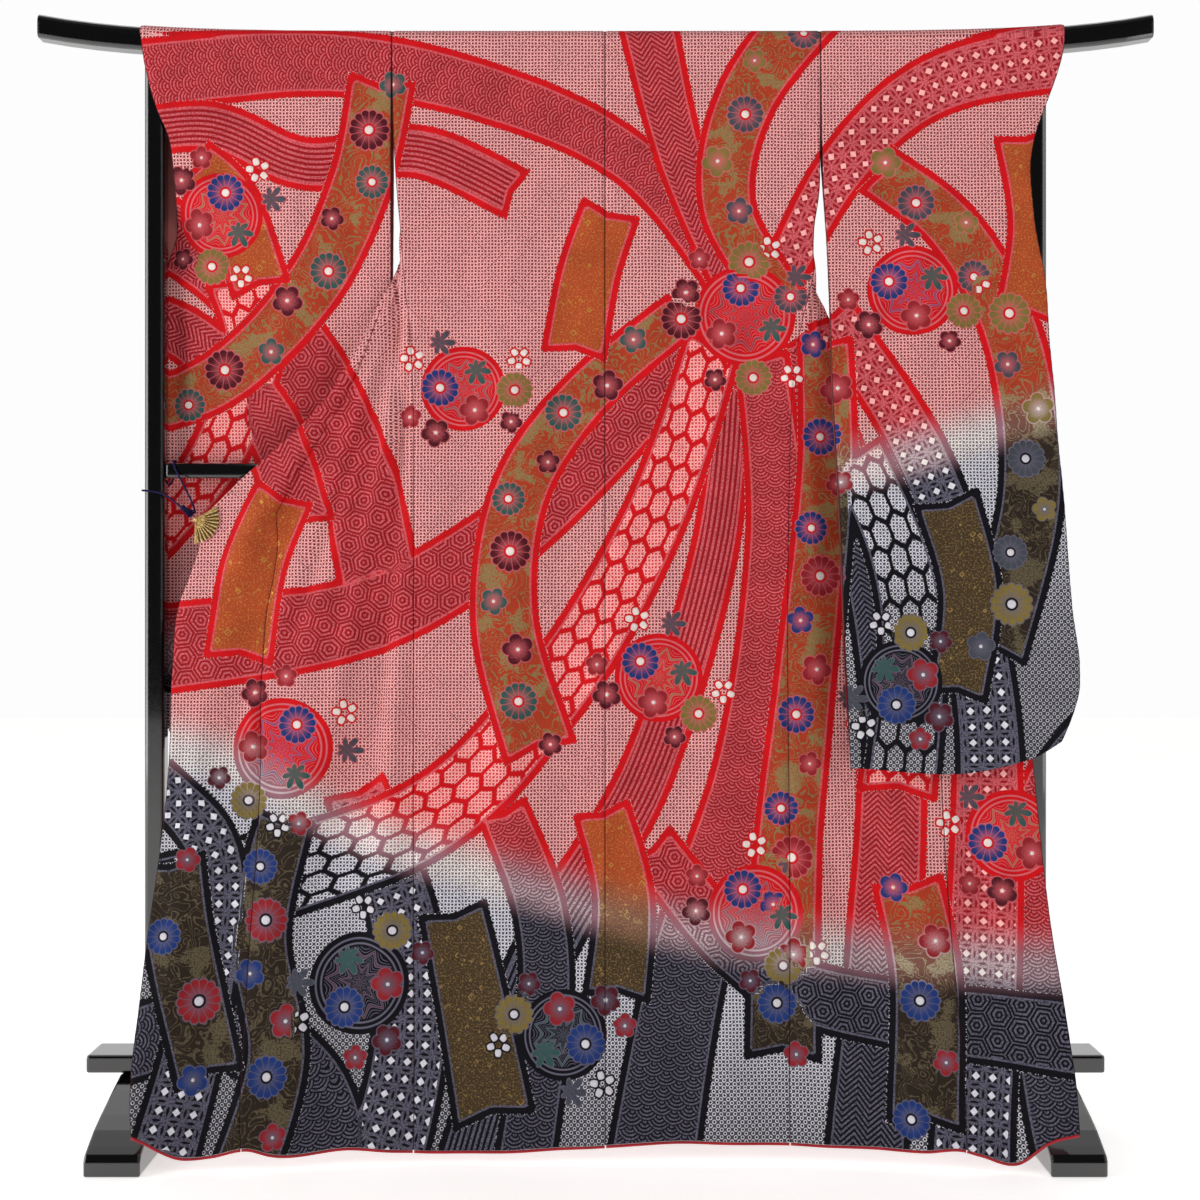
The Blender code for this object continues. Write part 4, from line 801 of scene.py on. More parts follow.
for name, size in (("chrysanthemum", 0.17), ("plum", 0.09)):
    knot_here = add(t, "Step", far, size, size + 0.04, 1.0, 0.0)
    white = add(t, "MULTIPLY_ADD", knot_here, on[name], white)

# The coats of colour from the bottom up, each with two masks that it has to lie in. The last coat is
# the dark line in each seam.
seam = add(t, "Attribute", attribute_name="seam").node.outputs["Fac"]
stitch = add(t, "Step", seam, *SEAM_LINE, 0.85, 0.0)
coats = [
    (field, 1.0, add(t, "Blend", dot, hollow, worn)),
    (line, bead, lines),
    (tied, ribbon, dots),
    (on["vine"], ribbon, add(t, "Blend", add(t, "MULTIPLY", scroll, bead), rust, olive)),
    (brocade, 1.0, add(t, "Blend", fleck, rust, gold)),
    (on["ball"], 1.0, wound),
    (around, on["knots"], ground),
]
for name, mask, mark in (
        ("chrysanthemum", aster, aster_line), ("plum", plum, plum_line), ("maple", maple, maple_line)):
    drawn = add(t, "Blend", add(t, "MULTIPLY", mark, 0.75), shaded[1], lines)
    coats.append((mask, on[name], drawn))
coats += [(eyelet, on["chrysanthemum"], ground), (white, 1.0, pale), (stitch, 1.0, linear("#2a0a10"))]
plain = add(t, "ADD", on["ball"], on["tiles"])
colour = add(t, "Blend", add(t, "SUBTRACT", ribbon, plain, use_clamp=True), ground, deep)
for one, other, coat in coats:
    colour = add(t, "Blend", add(t, "MULTIPLY", one, other), colour, coat)

# The crepe's own grain, the uneven dye, and the relief of the ties.
uneven = add(t, "MULTIPLY_ADD", mottle, 0.6, add(t, "MULTIPLY_ADD", grain, 0.4, 0.5))
colour = add(t, "VectorMath.SCALE", colour, uneven)
relief = add(t, "MULTIPLY", point, add(t, "MAXIMUM", field, tied))
relief = add(t, "ADD", add(t, "MULTIPLY_ADD", grain, 0.3, relief), add(t, "MULTIPLY", line, 0.5))
relief = add(t, "MULTIPLY_ADD", white, 1.5, relief)
golden = add(t, "MULTIPLY", fleck, brocade)
crepe = add(t, "BsdfPrincipled", Base_Color=colour, Specular_IOR_Level=0.15,
            Roughness=add(t, "MapRange", golden, 0.0, 1.0, 0.75, 0.42),
            Metallic=add(t, "MULTIPLY", golden, 0.5), Normal=add(t, "Bump", 0.6, CREPE_RELIEF, 1.0, relief))
add(t, "OutputMaterial", crepe)

# The lining is plain-woven silk, rose above and deep red from the knees down, with a joining seam.
# Its threads, finer than a pixel, are drawn 1.1 mm apart so that they show.
LINING_SEAM = 0.72
THREAD = 0.0011

lining, tree = new_material("Plain-woven lining silk")
place = add(tree, "TexCoord").node.outputs["Object"]
x, y, z = add(tree, "SeparateXYZ", place).node.outputs
warp = add(tree, "PINGPONG", add(tree, "DIVIDE", x, THREAD), 0.5)
weft = add(tree, "PINGPONG", add(tree, "DIVIDE", z, THREAD), 0.5)
weave = add(tree, "ADD", warp, weft)
bloom = add(tree, "TexNoise", place, 14.0, 3.0)
low = add(tree, "Step", z, LINING_SEAM - 0.001, LINING_SEAM + 0.001, 1.0, 0.0)
shade = add(tree, "Blend", low, linear("#9c5552"), linear("#8e0d18"))
joint = add(tree, "ABSOLUTE", add(tree, "SUBTRACT", z, LINING_SEAM))
sewn = add(tree, "Step", joint, 0.0006, 0.0014, 0.6, 0.0)
shade = add(tree, "Blend", sewn, shade, linear("#3a0c12"))
shade = add(tree, "VectorMath.SCALE", shade, add(tree, "MULTIPLY_ADD", bloom, 0.4, 0.8))
soft = add(tree, "BsdfPrincipled", Base_Color=shade, Roughness=0.5, Specular_IOR_Level=0.35, Sheen_Weight=0.1,
           Normal=add(tree, "Bump", 0.25, 0.0004, 1.0, weave))
add(tree, "OutputMaterial", soft)

# The hem's rolled edge is the same lining in plain red, padded and turned out below the crepe.
hem_silk, tree = new_material("Red lining silk of the rolled hem")
place = add(tree, "TexCoord").node.outputs["Object"]
weave = add(tree, "TexNoise", place, 900.0, 2.0)
shade = add(tree, "Blend", add(tree, "TexNoise", place, 40.0, 3.0), linear("#7d0a14"), linear("#c4152a"))
soft = add(tree, "BsdfPrincipled", Base_Color=shade, Roughness=0.5, Specular_IOR_Level=0.4, Sheen_Weight=0.1,
           Normal=add(tree, "Bump", 0.3, 0.0004, 1.0, weave))
add(tree, "OutputMaterial", soft)

# Long soft folds of the hanging cloth: where each starts and ends, its half width, and how far it
# stands out toward the viewer, or lies back where the number is negative.
FOLDS = (
    (-0.275, 1.23, -0.56, 0.76, 0.016, 0.0095), (-0.272, 1.2, -0.47, 0.62, 0.014, -0.0085),
    (-0.268, 1.18, -0.39, 0.52, 0.016, 0.0092), (-0.262, 1.14, -0.33, 0.42, 0.014, -0.008),
    (-0.29, 1.27, -0.28, 0.94, 0.011, -0.01), (-0.4, 0.9, -0.56, 0.3, 0.024, 0.0065),
    (-0.3, 0.7, -0.47, 0.09, 0.026, -0.0065), (-0.56, 0.64, -0.6, 0.14, 0.02, 0.0055),
    (-0.275, 0.8, -0.31, 0.18, 0.018, 0.0045), (-0.18, 1.45, -0.2, 0.85, 0.026, -0.0018),
    (-0.11, 0.95, -0.15, 0.15, 0.03, 0.0026), (-0.05, 1.3, -0.03, 0.5, 0.028, -0.002),
    (0.07, 1.42, 0.1, 0.7, 0.028, 0.0018), (0.06, 0.8, 0.04, 0.1, 0.03, -0.0026),
    (0.16, 1.15, 0.18, 0.35, 0.03, 0.0022), (0.225, 1.35, 0.215, 0.6, 0.024, -0.0024),
    (0.245, 0.7, 0.33, 0.08, 0.026, 0.0036), (0.3, 0.52, 0.42, 0.06, 0.024, -0.0036),
    (0.4, 0.56, 0.52, 0.08, 0.024, 0.0038), (0.5, 0.56, 0.59, 0.12, 0.022, -0.0034),
    (0.42, 1.42, 0.44, 0.64, 0.028, -0.0026), (0.51, 1.3, 0.54, 0.62, 0.026, 0.0026),
    (0.6, 1.2, 0.63, 0.68, 0.02, -0.0024), (0.375, 1.25, 0.38, 0.62, 0.016, 0.0022),
    (-0.35, 1.52, -0.37, 1.06, 0.024, -0.0026), (-0.43, 1.48, -0.47, 0.98, 0.024, 0.0028),
    (-0.53, 1.5, -0.56, 0.96, 0.022, -0.0028), (-0.6, 1.42, -0.61, 0.96, 0.016, 0.0024),
)
SWELL = 0.0007
PUCKER = {"high": 0.0006, "long": 0.017, "slow": 0.043, "wide": 0.012}
HEM_INSET = 0.0009
HEM_CORNERS = 10


def folds_at(at, seam):
    """How far each point stands toward the viewer: long folds, a slow swell, and puckers at the seams."""
    lift = np.zeros(len(at))
    for x0, z0, x1, z1, wide, high in FOLDS:
        run = np.array((x1 - x0, z1 - z0))
        length = np.hypot(*run)
        off = at - (x0, z0)
        along = off @ run / length**2
        aside = (off[:, 0] * run[1] - off[:, 1] * run[0]) / length
        spread = wide * (0.6 + 0.6 * np.clip(along, 0.0, 1.0))
        ends = ease(along, -0.05, 0.25) * (1 - ease(along, 0.75, 1.1))
        lift += high * np.exp(-((aside / spread) ** 2)) * ends
    x, z = at.T
    lift += SWELL * (np.sin(31 * x + 9 * z + 1.0) + np.sin(23 * z - 13 * x + 2.2) + np.sin(67 * x - 37 * z))
    lift *= ease(seam, 0.0, 0.012) * ease(FLANK_Z - z, 0.01, 0.08)
    gathered = np.sin(2 * math.pi * z / PUCKER["long"]) + 0.6 * np.sin(2 * math.pi * z / PUCKER["slow"] + 1.0)
    return lift + PUCKER["high"] * gathered * np.exp(-((seam / PUCKER["wide"]) ** 2)) * (z < FLANK_Z)


def hem_roll(name, line, node):
    """The rolled edge that lies below a row of hem points."""
    run = np.gradient(line, axis=0)
    run /= np.linalg.norm(run, axis=1)[:, None]
    down = np.stack([run[:, 2], 0 * run[:, 2], -run[:, 0]], 1)
    down *= (-np.sign(down[:, 2]) / np.linalg.norm(down, axis=1))[:, None]
    middle = line + down * (GAP + HEM_ROLL / 2)
    middle[0] += run[0] * HEM_INSET
    middle[-1] -= run[-1] * HEM_INSET
    path = smooth_path(middle, 0.004)
    bm = bmesh.new()
    sweep(bm, path, round_ring(HEM_ROLL / 2, HEM_CORNERS))
    return finish_piece(name, bm, hem_silk, "lining", node)


def hang_cloth(name, place, across, down, flat, node, cut="body",
               faces=-1, hem=None):
    """Makes one panel: its mesh, the design and seam attributes on its points, its wall, and its rolled hem.
    """
    bm, points, height, seam = cloth_mesh(place, across, down, flat[0])
    bm.normal_update()
    if sum(f.normal.y * f.calc_area() for f in bm.faces) * faces < 0:
        bmesh.ops.reverse_faces(bm, faces=bm.faces[:])
        bm.normal_update()
    at = np.stack([points[:, 0], height], 1)
    low = points[:, 2] - hem_row(points[:, 0]) if cut == "body" else 1.0 + 0 * seam
    sunk = SEAM_DIP * np.exp(-((seam / SEAM_REACH) ** 2))
    lift = -faces * folds_at(at, seam) * ease(low, 0.0, HEM_FLAT) - sunk
    for vert, by in zip(bm.verts, lift):
        vert.co += vert.normal * by
    piece = finish_piece(name, bm, (silk, lining), "silk", node)
    navy = smooth(NAVY_LINE[cut], "z", at[:, 0], key="x") - at[:, 1]
    attributes = piece.data.attributes
    told = [("plan", "FLOAT_VECTOR", "vector", np.column_stack([at, navy])), ("seam", "FLOAT", "value", seam)]
    told += [(layer, "FLOAT_COLOR", "color", values) for layer, values in paint_layers(at).items()]
    for label, kind, field, values in told:
        attributes.new(label, kind, "POINT").data.foreach_set(field, values.ravel())
    wall = piece.modifiers.new("Lined cloth", "SOLIDIFY")
    wall.thickness = CLOTH
    wall.offset = 0.0
    wall.material_offset = 1
    rolls = []
    if hem:
        rolls = [hem_roll("rolled_" + hem, place(across, np.repeat(down[-1:], len(across), 0)), hem)]
    return piece


def back_place(side):
    """Places the points of one back panel, from the centre seam out to its side seam."""
    sign = OUTWARD[side]

    def place(u, rows):
        turn, z = rows[:, 0], rows[:, 1]
        start = CENTRE_SEAM + sign * SEAM
        x = start + u * (smooth(BODY_EDGE, side, z) - start)
        top = over_rail(x, turn, -1)
        low = z + near_hem(z) * (hem_row(x) - HEM_LOW[side])
        ripple = BACK_RIPPLE * (1 - ease(z, 0.8, 1.4)) * np.sin(x / 0.024) * np.sin(math.pi * u)
        hung = np.stack([x, hang(low) - ripple, low], axis=-1)
        return np.where((turn > 0)[:, None], top, hung)
    return place


for side in ("left", "right"):
    hang_cloth("back_panel_" + side, back_place(side), columns_of(0.3), rows_to(HEM_LOW[side]),
               (0.31, 1.6), "back_" + side, hem="hem_back_" + side)

# The two front panels hang behind the rail, turn forward below the armpit, and are drawn out
# wide beside the back. The overlap panels, narrower and shorter, are sewn to their free edges.
OVERLAP_SEAM = 0.00003
FOLD_DEPTH = {"left": 0.0065, "right": 0.0035}
FOLD_REACH = (0.1, 0.38)
FOLD_PITCH = (15.0, 6.5)
GATHER = 1 / 13
RIGHT_RECESS = 0.012
SEAM_STEP = 0.002 + GAP
SEAM_TURN = 0.14
ARMPIT = {"left": 1.291, "right": 1.244}
OVERLAP_TOP = {"left": 1.262, "right": 1.22}
FRONT_TOP = {
    "left": {
        "seam_z": (0.895, 0.945, 1.0, 1.06, 1.13, 1.2, 1.235, 1.262, 1.291, 1.335, 1.39, 1.46, 1.53, 1.584),
        "x": (-0.563, -0.51, -0.452, -0.398, -0.349, -0.312, -0.2965, -0.2885, -0.283, -0.26, -0.22, -0.169,
              -0.117, -0.0785),
        "y": (-0.03, -0.03, -0.029, -0.027, -0.024, -0.019, -0.0125, 0.01, 0.03, 0.026, 0.0235, 0.0205, 0.018,
              0.0165),
        "z": (0.893, 0.945, 0.997, 1.05, 1.12, 1.2, 1.232, 1.262, 1.3, 1.335, 1.39, 1.46, 1.53, 1.584),
    },
    "right": {
        "seam_z": (0.895, 0.945, 1.0, 1.06, 1.11, 1.165, 1.2, 1.22, 1.244, 1.28, 1.33, 1.42, 1.52, 1.584),
        "x": (0.563, 0.511, 0.456, 0.41, 0.376, 0.347, 0.3325, 0.3235, 0.3175, 0.3, 0.268, 0.21, 0.146,
              0.1055),
        "y": (-0.03, -0.029, -0.026, -0.023, -0.02, -0.015, -0.009, 0.01, 0.03, 0.028, 0.026, 0.023, 0.0185,
              0.0165),
        "z": (0.893, 0.945, 0.997, 1.05, 1.105, 1.16, 1.195, 1.218, 1.253, 1.285, 1.33, 1.42, 1.52, 1.584),
    },
}
FRONT_EDGE = {
    "left": {
        "z": (0.052, 0.076, 0.124, 0.207, 0.31, 0.39, 0.448, 0.542, 0.675, 0.771, 0.801, 0.856, 0.893),
        "x": (-0.6223, -0.627, -0.632, -0.63, -0.6245, -0.617, -0.612, -0.607, -0.606, -0.597, -0.586, -0.569,
              -0.563),
        "y": (-0.19, -0.18, -0.158, -0.128, -0.1, -0.083, -0.073, -0.059, -0.044, -0.035, -0.033, -0.031,
              -0.03),
    },
    "right": {
        "z": (0.057, 0.109, 0.16, 0.229, 0.3, 0.378, 0.46, 0.543, 0.675, 0.78, 0.845, 0.893),
        "x": (0.6475, 0.651, 0.648, 0.642, 0.634, 0.628, 0.623, 0.618, 0.606, 0.592, 0.575, 0.563),
        "y": (-0.195, -0.17, -0.154, -0.135, -0.118, -0.101, -0.087, -0.074, -0.052, -0.037, -0.032, -0.03),
    },
}
OVERLAP_START = {
    "seam_z": (0.0, 0.6, 0.895, 0.95, 1.06, 1.16, 1.27),
    "share": (0.615, 0.63, 0.66, 0.7, 0.78, 0.84, 0.9),
}


def seam_point(side, seam_z):
    """The front's side of the side seam, and of the armhole above it."""
    sign = OUTWARD[side]
    x = smooth(BODY_EDGE, side, seam_z)
    start = ARMPIT[side]
    share = np.clip((seam_z - start) / (BELOW_RAIL - start), 0.0, 1.0)
    above = (1 - share) * (hang(start) + SEAM_STEP) + share * FLANK_Y
    turned = ease(seam_z, start - SEAM_TURN, start)
    below = hang(seam_z) + turned * SEAM_STEP
    hung = seam_z > start
    x += np.where(hung, 0.0, sign * (1 - turned) * 2 * SEAM)
    return np.stack([x, np.where(hung, above, below), seam_z], -1)


def edge_point(side, seam_z):
    """The front's free edge, on the row that starts at this height of the side seam."""
    top, edge = FRONT_TOP[side], FRONT_EDGE[side]
    low = top["seam_z"][0]
    upper = np.stack([smooth(top, column, seam_z, key="seam_z") for column in "xyz"], -1)
    z = top["z"][0] + (seam_z - low) * (top["z"][0] - edge["z"][0]) / (low - HEM_LOW[side])
    lower = np.stack([smooth(edge, "x", z), smooth(edge, "y", z), z], -1)
    return np.where((seam_z >= low)[:, None], upper, lower)


def fan_fold(point, u, seam_z, side):
    """Long soft folds that spread from the armpit down over the front, and leave its edges flat."""
    sign = OUTWARD[side]
    start_z = ARMPIT[side]
    across = sign * (point[:, 0] - smooth(BODY_EDGE, side, start_z))
    below = start_z - point[:, 2]
    reach = np.hypot(across, below)
    angle = np.degrees(np.arctan2(across, below))
    depth = FOLD_DEPTH[side] * ease(reach, *FOLD_REACH) * (1 - 0.35 * ease(reach, 0.7, 1.25))
    depth *= 1 - ease(seam_z, start_z - 0.06, start_z)
    flat = 0.1 + 0.16 * ease(seam_z, 0.9, 0.98)
    depth *= ease(u, 0.0, 0.16) * ease(1 - u, flat, flat + 0.18)
    pitch = FOLD_PITCH[0] - FOLD_PITCH[1] * ease(reach, 0.4, 1.25)
    return depth * np.cos(np.radians(360 * angle / pitch + 40))


def front_point(side, u, rows):
    """Points of the front and its overlap panel, from the side seam out to the free edge."""
    turn, value = rows[:, 0], rows[:, 1]
    sign = OUTWARD[side]
    seam_x = float(smooth(BODY_EDGE, side, RAIL_TOP))
    top = over_rail(seam_x + u * (CENTRE_SEAM + sign * NECK_HALF - seam_x), turn, 1)
    seam, edge = seam_point(side, value), edge_point(side, value)
    point = seam + u[:, None] * (edge - seam)
    run = edge - seam
    length = np.hypot(run[:, 0], run[:, 1])
    across = np.stack([run[:, 1], -run[:, 0], 0 * length], -1) / length[:, None]
    start = ARMPIT[side]
    near = ease(value, start - 0.15, start - 0.03) * (1 - ease(value, start + 0.03, start + 0.17))
    within = np.minimum(u / 0.72, 1.0)
    gather = near * length * GATHER * np.sin(4 * math.pi * within) * np.sin(math.pi * within)
    point = point + across * gather[:, None]
    point[:, 1] -= fan_fold(point, u, value, side)
    if side == "right":
        back = ease(u, 0.0, 0.2) * ease(1 - u, 0.1, 0.7)
        point[:, 1] += RIGHT_RECESS * back * ease(value, 0.2, 0.5) * (1 - ease(value, 0.95, 1.15))
    line = (1 - u) * HEM_LOW[side] + u * FRONT_EDGE[side]["z"][0]
    point[:, 2] += near_hem(value) * (hem_row(point[:, 0]) - line)
    return np.where((turn > 0)[:, None], top, point)


def overlap_share(side, seam_z, near):
    """Where on a row the front ends or the overlap panel starts, either side of their seam."""
    length = np.linalg.norm(edge_point(side, seam_z) - seam_point(side, seam_z), axis=1)
    return smooth(OVERLAP_START, "share", seam_z, key="seam_z") + near * OVERLAP_SEAM / length


for side in ("left", "right"):
    top = OVERLAP_TOP[side]

    def front(u, rows):
        z = rows[:, 1]
        closing = np.clip((z - top) / (ARMPIT[side] - top), 0.0, 1.0)
        share = overlap_share(side, np.minimum(z, top), -1)
        return front_point(side, u * (share + closing * (1 - share)), rows)

    def overlap(u, rows):
        share = overlap_share(side, rows[:, 1], 1)
        return front_point(side, share + u * (1 - share), rows)

    hang_cloth("front_panel_" + side, front, columns_of(0.24), rows_to(HEM_LOW[side]),
               (0.26, 1.58), "front_" + side, hem="hem_front_" + side)
    hang_cloth("overlap_panel_" + side, overlap, columns_of(0.14), rows_to(HEM_LOW[side], top, False),
               (0.15, 1.25), "okumi_" + side,
               hem="hem_okumi_" + side)

# The collar is a doubled band of the same silk, folded to the inside along each front's free edge
# and carried round behind the rail at the neck.
COLLAR_OFF = 0.0036
COLLAR_WIDTH = 0.05
COLLAR_SHARE = 0.25
COLLAR_LOW = 0.945
COLLAR_HIGH = {"left": 1.53, "right": 1.52}
NECK_REACH = NECK_HALF - 2 * SEAM
NECK_LEAN = 0.012

for side in ("left", "right"):

    def band(u, rows):
        run = edge_point(side, rows[:, 1]) - seam_point(side, rows[:, 1])
        length = np.linalg.norm(run, axis=1)
        share = np.minimum(COLLAR_WIDTH / length, COLLAR_SHARE)
        inward = np.stack([run[:, 1], -run[:, 0], 0 * length], -1)
        inward *= -OUTWARD[side] * COLLAR_OFF / np.linalg.norm(inward, axis=1)[:, None]
        return front_point(side, 1 - share * (1 - u) - SEAM / length, rows) + inward

    hang_cloth("collar_band_" + side, band, columns_of(0.05), rows_to(COLLAR_LOW, COLLAR_HIGH[side], False),
               (0.055, 0.62), "collar_" + side)


def neck(u, rows):
    """Places the collar behind the neck, down from the top of the rail."""
    turn, z = rows[:, 0], rows[:, 1]
    x = CENTRE_SEAM + (2 * u - 1) * NECK_REACH
    value = (FLANK_Z - z) / COLLAR_WIDTH
    low = FLANK_Z - value * COLLAR_WIDTH * (1 - 0.25 * (2 * u - 1) ** 2)
    hung = np.stack([x, FLANK_Y + NECK_LEAN * value, low], -1)
    return np.where((turn > 0)[:, None], over_rail(x, turn, 1), hung)


hang_cloth("collar_band_neck", neck, columns_of(0.18), rows_to(FLANK_Z - COLLAR_WIDTH),
           (0.19, 0.08), "collar_neck")

# Each sleeve is one long width of cloth folded at the shoulder and sewn into a deep bag, with the
# cuff left open for 23 cm below the shoulder and the front bottom corner rounded.
CUFF_END = 1.37
CUFF_BLEND = 0.07
SLEEVE_DROP = 1.05
SLEEVE_WAVE = 0.0022
SLEEVE_RIDGE = {"high": 0.008, "at": 0.93, "wide": 0.035}
SLEEVE_BOTTOM = {"share": (0.0, 0.71, 0.84, 0.93, 1.0), "z": (0.5345, 0.5323, 0.542, 0.553, 0.572)}
SLEEVE = {
    "right": {
        "z": (0.53, 0.572, 0.609, 0.638, 0.676, 0.754, 0.844, 0.921, 0.997, 1.075, 1.133, 1.238, 1.3, 1.346,
              1.405, 1.453, 1.497, 1.539, 1.571, 1.604),
        "inner": (0.3583, 0.357, 0.3556, 0.3548, 0.3535, 0.351, 0.3489, 0.346, 0.342, 0.3385, 0.3378, 0.335,
                  0.3325, 0.33, 0.3282, 0.3275, 0.327, 0.3266, 0.3264, 0.3264),
        "outer_near": (0.63, 0.655, 0.6715, 0.6806, 0.683, 0.6749, 0.6698, 0.6659, 0.66, 0.6561, 0.6515,
                       0.6461, 0.6355, 0.631, 0.6292, 0.639, 0.656, 0.671, 0.679, 0.681),
        "outer_far": (0.63, 0.655, 0.6715, 0.6806, 0.683, 0.6749, 0.6698, 0.6659, 0.66, 0.6561, 0.6515,
                      0.6461, 0.634, 0.618, 0.612, 0.616, 0.623, 0.655, 0.676, 0.681),
        "near": (-0.0912, -0.0885, -0.0855, -0.083, -0.08, -0.074, -0.0672, -0.0613, -0.0554, -0.0493,
                 -0.0448, -0.0363, -0.0315, -0.0273, -0.0232, -0.02, -0.0178, -0.0168, -0.0165, -0.0165),
        "far": (-0.084, -0.077, -0.0715, -0.067, -0.063, -0.056, -0.049, -0.044, -0.04, -0.0365, -0.0345,
                -0.0295, -0.0257, -0.02, -0.004, 0.01, 0.0165, 0.0165, 0.0165, 0.0165),
        "edge": (-0.09, -0.0868, -0.0835, -0.081, -0.078, -0.072, -0.0645, -0.0585, -0.0525, -0.0465, -0.042,
                 -0.034, -0.0292, -0.024, -0.0136, -0.005, 0.0, 0.0, 0.0, 0.0),
    },
    "left": {
        "z": (0.53, 0.565, 0.6, 0.7, 0.85, 0.93, 0.98, 1.1, 1.2, 1.255, 1.305, 1.345, 1.394, 1.445, 1.478,
              1.539, 1.604),
        "inner": (-0.3, -0.3, -0.3, -0.3, -0.299, -0.299, -0.299, -0.2985, -0.2985, -0.2985, -0.298, -0.2975,
                  -0.297, -0.2968, -0.2964, -0.296, -0.2957),
        "outer_near": (-0.6, -0.622, -0.636, -0.641, -0.641, -0.64, -0.64, -0.64, -0.639, -0.632, -0.616,
                       -0.611, -0.613, -0.62, -0.6343, -0.652, -0.662),
        "outer_far": (-0.6, -0.622, -0.636, -0.641, -0.641, -0.64, -0.64, -0.64, -0.6395, -0.64, -0.64,
                      -0.641, -0.642, -0.645, -0.648, -0.655, -0.662),
        "near": (0.0245, 0.024, 0.0235, 0.0225, 0.0215, 0.0215, 0.0205, 0.0095, 0.0015, -0.0025, -0.006,
                 -0.009, -0.0125, -0.0165, -0.0165, -0.0165, -0.0165),
        "far": (0.033, 0.035, 0.036, 0.038, 0.037, 0.036, 0.035, 0.029, 0.025, 0.024, 0.0235, 0.022, 0.02,
                0.0185, 0.0175, 0.0165, 0.0165),
        "edge": (0.022, 0.022, 0.022, 0.022, 0.022, 0.022, 0.022, 0.021, 0.0195, 0.019, 0.0185, 0.01, 0.0,
                 0.0, 0.0, 0.0, 0.0),
    },
}


def sleeve_place(side, layer):
    """Places the points of one layer of a sleeve, from the body out to the cuff edge."""
    table = SLEEVE[side]
    toward = -1 if layer == "near" else 1

    def place(u, rows):
        turn, value = rows[:, 0], rows[:, 1]
        inner, outer = (float(smooth(table, c, RAIL_TOP)) for c in ("inner", "outer_" + layer))
        over = over_rail(inner + u * (outer - inner), turn, toward)
        bottom = smooth(SLEEVE_BOTTOM, "z", u, key="share")
        top = FLANK_Z + rail_rise(smooth(table, "outer_near", RAIL_TOP) * u)
        z = top + value * (bottom - top)
        inner, outer = smooth(table, "inner", z), smooth(table, "outer_" + layer, z)
        x = inner + u * (outer - inner)
        sewn = 1 - ease(z, CUFF_END - CUFF_BLEND, CUFF_END)
        meet = np.maximum(sewn * ease(u, 0.72, 1.0), ease(value, 0.9, 1.0))
        free = smooth(table, layer, z)
        closed = smooth(table, "edge", z) + toward * (0.001 + SEAM)
        y = free + meet * (closed - free)
        wave = np.sin(9.0 * u + 4.0 * value) * np.sin(math.pi * np.minimum(u / 0.85, 1.0))
        y += SLEEVE_WAVE * ease(value, 0.12, 0.4) * wave
        if side == "left":
            ridge = np.exp(-((u - SLEEVE_RIDGE["at"]) / SLEEVE_RIDGE["wide"]) ** 2)
            y += SLEEVE_RIDGE["high"] * ridge * (1 - ease(z, 1.14, 1.24))
        return np.where((turn > 0)[:, None], over, np.stack([x, y, z], -1))
    return place


drop = np.linspace(0.0, 1.0, int(SLEEVE_DROP / CELL) + 1)
SLEEVE_ROWS = np.vstack([np.stack([TURNS[:-1], 0 * TURNS[:-1]], 1), np.stack([0 * drop, drop], 1)])
for side in ("left", "right"):
    for cut, layer in (("back", "near"), ("front", "far")):
        hang_cloth(f"sleeve_{side}_{cut}_layer", sleeve_place(side, layer), columns_of(0.34), SLEEVE_ROWS,
                   (0.36, 1.07), f"sleeve_{side}_{cut}", cut=side,
                   faces=-1 if layer == "near" else 1)

# The two clips are small folding fans of gilt brass: a pleated leaf between two guards, with a second
# leaf behind the cloth and a domed rivet through both. They grip the fronts' free edges.
CLIP_HEIGHTS = np.array((0.895, 0.93, 0.86))
FAN_PIVOT = (-0.5755, 0.887)
FAN_RADIUS = 0.034
FAN_LEAF_START = 0.002
# Past this distance from the rivet, the falling share of each pleat is coloured dark as painted shade.
FAN_SHADE_START = 0.0135
FAN_SHADE_SHARE = 0.57
FAN_FROM, FAN_TO = -90.0, 29.0
FAN_RIBS = 11
FAN_STEPS = 7
FAN_CLEAR = 0.002
FAN_PLEAT = 0.0009
FAN_SHEET = 0.0006
FAN_NOTCH = 0.0014
GUARD = (0.0034, 0.0013)
GUARD_TAIL = 0.005
GUARD_LIFT = 0.0002
RIVET_LIFT = 0.0004
RIVET_RADIUS = 0.0036
RIVET_DOME = 0.45
PIN_RADIUS = 0.0022
WORN_EDGE = 0.00015

# Gilt brass: a warm yellow metal with a fine brushed grain. The second, dark brass is painted shade: it
# colours the falling side of each pleat between the ribs.
gilding = []
for name, darker_tone, lighter_tone, metallic in (
        ("Gilt stamped brass", "#a17a3a", "#eccb8a", 0.6),
        ("Dark brass of the painted pleat shade", "#3c2a0a", "#66490f", 0.3)):
    gilt, tree = new_material(name)
    place = add(tree, "TexCoord").node.outputs["Object"]
    tarnish = add(tree, "TexNoise", place, 420.0, 3.0)
    shade = add(tree, "Step", tarnish, 0.35, 0.65)
    shade = add(tree, "Blend", shade, linear(darker_tone), linear(lighter_tone))
    metal = add(tree, "BsdfPrincipled", Base_Color=shade, Metallic=metallic,
                Roughness=add(tree, "MapRange", tarnish, 0.3, 0.7, 0.46, 0.32),
                Normal=add(tree, "Bump", 0.3, 0.0002, 1.0, tarnish))
    add(tree, "OutputMaterial", metal)
    gilding.append(gilt)


def fan_spot(along, radius, height):
    """A point of the left fan, by its share of the spread, its distance from the rivet and its depth."""
    angle = math.radians(FAN_FROM + along * (FAN_TO - FAN_FROM))
    return Vector((radius * math.cos(angle), height, radius * math.sin(angle)))


